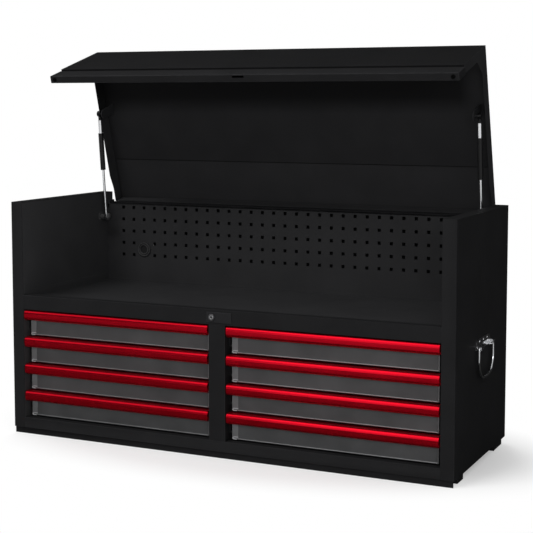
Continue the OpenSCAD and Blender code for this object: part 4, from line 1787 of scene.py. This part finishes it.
@dataclass
class Stage:
    """The floor, lights, backdrop, cards and camera."""

    camera_at: Vector = field(default_factory=lambda: Vector((1.6098, -3.3913, 0.9816)))
    yaw: float = 25.032
    pitch: float = -4.967
    lens: float = 87.95
    sensor: float = 36.0
    shift_y: float = -0.10
    sky: float = 0.5
    aim_height: float = 0.5
    card_black: float = 0.02
    floor_half: float = 14.0
    floor_drop: float = 0.0004
    floor_white: float = 0.93
    shade_oval: Colour = (1.0, 1.9, 1.0)
    shade_span: Pair = (0.66, 1.02)
    shade_least: float = 0.3

    def build(self) -> None:
        """Sets the whole stage."""
        bpy.context.scene.view_settings.view_transform = "Standard"
        self.backdrop()
        self.floor()
        for lamp in LAMPS:
            self.hang(lamp)
        for card in CARDS:
            self.stand(card)
        self.camera()

    def board(
        self, name: str, corners: list[Vector], paint: bpy.types.Material
    ) -> bpy.types.Object:
        """Puts a flat board on the stage.

        Args:
            name: The board's name.
            corners: Its corners, in order.
            paint: Its paint.

        Returns:
            The board.
        """
        mesh = bpy.data.meshes.new(name)
        mesh.from_pydata([tuple(corner) for corner in corners], [], [(0, 1, 2, 3)])
        mesh.materials.append(paint)
        board = bpy.data.objects.new(name, mesh)
        bpy.context.scene.collection.objects.link(board)
        return board

    def stand(self, card: Card) -> None:
        """Puts a card where reflections would see too much white, or too little.

        Args:
            card: The card.
        """
        paint = bpy.data.materials.new(f"{card.name}_paint")
        paint.use_nodes = True
        shader = paint.node_tree.nodes["Principled BSDF"]
        shader.inputs["Base Color"].default_value = (*[self.card_black] * 3, 1)
        shader.inputs["Roughness"].default_value = 1.0
        shader.inputs["Emission Color"].default_value = WHITE
        shader.inputs["Emission Strength"].default_value = card.glow
        near, far = card.corner, card.corner + card.up
        corners = [near, near + card.across, far + card.across, far]
        board = self.board(card.name, corners, paint)
        for way in ("camera", "diffuse", "shadow", "transmission", "volume_scatter"):
            setattr(board, f"visible_{way}", False)

    def hang(self, lamp: Lamp) -> None:
        """Hangs a soft lamp, tilted to face the chest.

        Args:
            lamp: The lamp.
        """
        data = bpy.data.lights.new(lamp.name, "AREA")
        data.shape = "RECTANGLE"
        data.size, data.size_y = lamp.size
        data.energy = lamp.power
        light = bpy.data.objects.new(lamp.name, data)
        light.location = lamp.at
        light.visible_glossy = lamp.mirrored
        aim = Vector((lamp.at.x, 0, self.aim_height)) - lamp.at
        light.rotation_euler = aim.to_track_quat("-Z", "Y").to_euler()
        bpy.context.scene.collection.objects.link(light)
        LOG.info("lamp %s at %s", lamp.name, tuple(round(c, 2) for c in lamp.at))

    @staticmethod
    def seen(maker: NodeMaker) -> Socket:
        """Says whether a ray comes from the eye, a mirror or a lens.

        Args:
            maker: The maker of the tree to add to.

        Returns:
            One where it does, and nothing elsewhere.
        """
        path = maker.add("ShaderNodeLightPath")
        total = path.outputs["Is Camera Ray"]
        for name in ("Is Glossy Ray", "Is Transmission Ray"):
            total = maker.math("MAXIMUM", total, path.outputs[name])
        return total

    def backdrop(self) -> None:
        """Makes the world white to look at and soft as a light."""
        world = bpy.data.worlds.new("studio")
        world.use_nodes = True
        world.node_tree.nodes.clear()
        maker = NodeMaker(world.node_tree)
        glows = []
        for strength in (self.sky, 1.0):
            glow = maker.add("ShaderNodeBackground")
            glow.inputs["Color"].default_value = WHITE
            glow.inputs["Strength"].default_value = strength
            glows.append(glow.outputs[0])
        maker.surface(self.seen(maker), *glows, end="ShaderNodeOutputWorld")
        bpy.context.scene.world = world

    def floor(self) -> None:
        """Lays the pale floor, which fades into the white backdrop far away."""
        half, z = self.floor_half, -self.floor_drop
        ways = ((-1, -1), (1, -1), (1, 1), (-1, 1))
        corners = [Vector((x * half, y * half, z)) for x, y in ways]
        self.board("floor", corners, self.floor_paint())

    def floor_paint(self) -> bpy.types.Material:
        """Makes the floor's paint.

        Returns:
            A matt white that keeps shadows near the chest.
        """
        paint = bpy.data.materials.new("floor_paint")
        paint.use_nodes = True
        paint.node_tree.nodes.clear()
        maker = NodeMaker(paint.node_tree)
        matt = maker.add("ShaderNodeBsdfDiffuse")
        matt.inputs["Color"].default_value = (*[self.floor_white] * 3, 1)
        white = maker.add("ShaderNodeEmission")
        oval = maker.add("ShaderNodeMapping")
        oval.inputs["Scale"].default_value = self.shade_oval
        maker.join(maker.add("ShaderNodeTexCoord").outputs["Object"], oval.inputs["Vector"])
        far = maker.add("ShaderNodeVectorMath", operation="LENGTH")
        maker.join(oval.outputs["Vector"], far.inputs[0])
        shade = (self.shade_least, 1)
        fade = maker.ranged(far.outputs["Value"], self.shade_span, shade, smooth=True)
        share = maker.math("MULTIPLY", fade, self.seen(maker))
        maker.surface(share, matt.outputs[0], white.outputs[0], end="ShaderNodeOutputMaterial")
        return paint

    def camera(self) -> None:
        """Stands the camera where the photograph was taken from."""
        data = bpy.data.cameras.new("camera")
        data.lens = self.lens
        data.sensor_width = self.sensor
        data.shift_y = self.shift_y
        camera = bpy.data.objects.new("camera", data)
        camera.location = self.camera_at
        camera.rotation_euler = (math.radians(90 + self.pitch), 0, math.radians(self.yaw))
        bpy.context.scene.collection.objects.link(camera)
        bpy.context.scene.camera = camera


def main() -> None:
    """Builds the chest piece by piece, and then the stage round it."""
    logging.basicConfig(level=logging.INFO, format="%(name)s: %(message)s")
    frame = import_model()
    groups: list[SubAssembly] = [
        Carcass(frame),
        Tray(frame),
        Hinge(frame),
        Lid(frame),
        Struts(frame),
        Slides(frame),
        Lock(frame),
        HandlePlates(frame),
    ]
    groups += [SideHandle(frame, side=side) for side in Side]
    groups += [Drawer(frame, side=side, row=row) for side in Side for row in DRAWER_ROWS]
    for group in groups:
        group.build()
        LOG.info("%s: %d pieces", type(group).__name__, len(group.pieces))
    Stage().build()


if __name__ == "__main__":
    main()
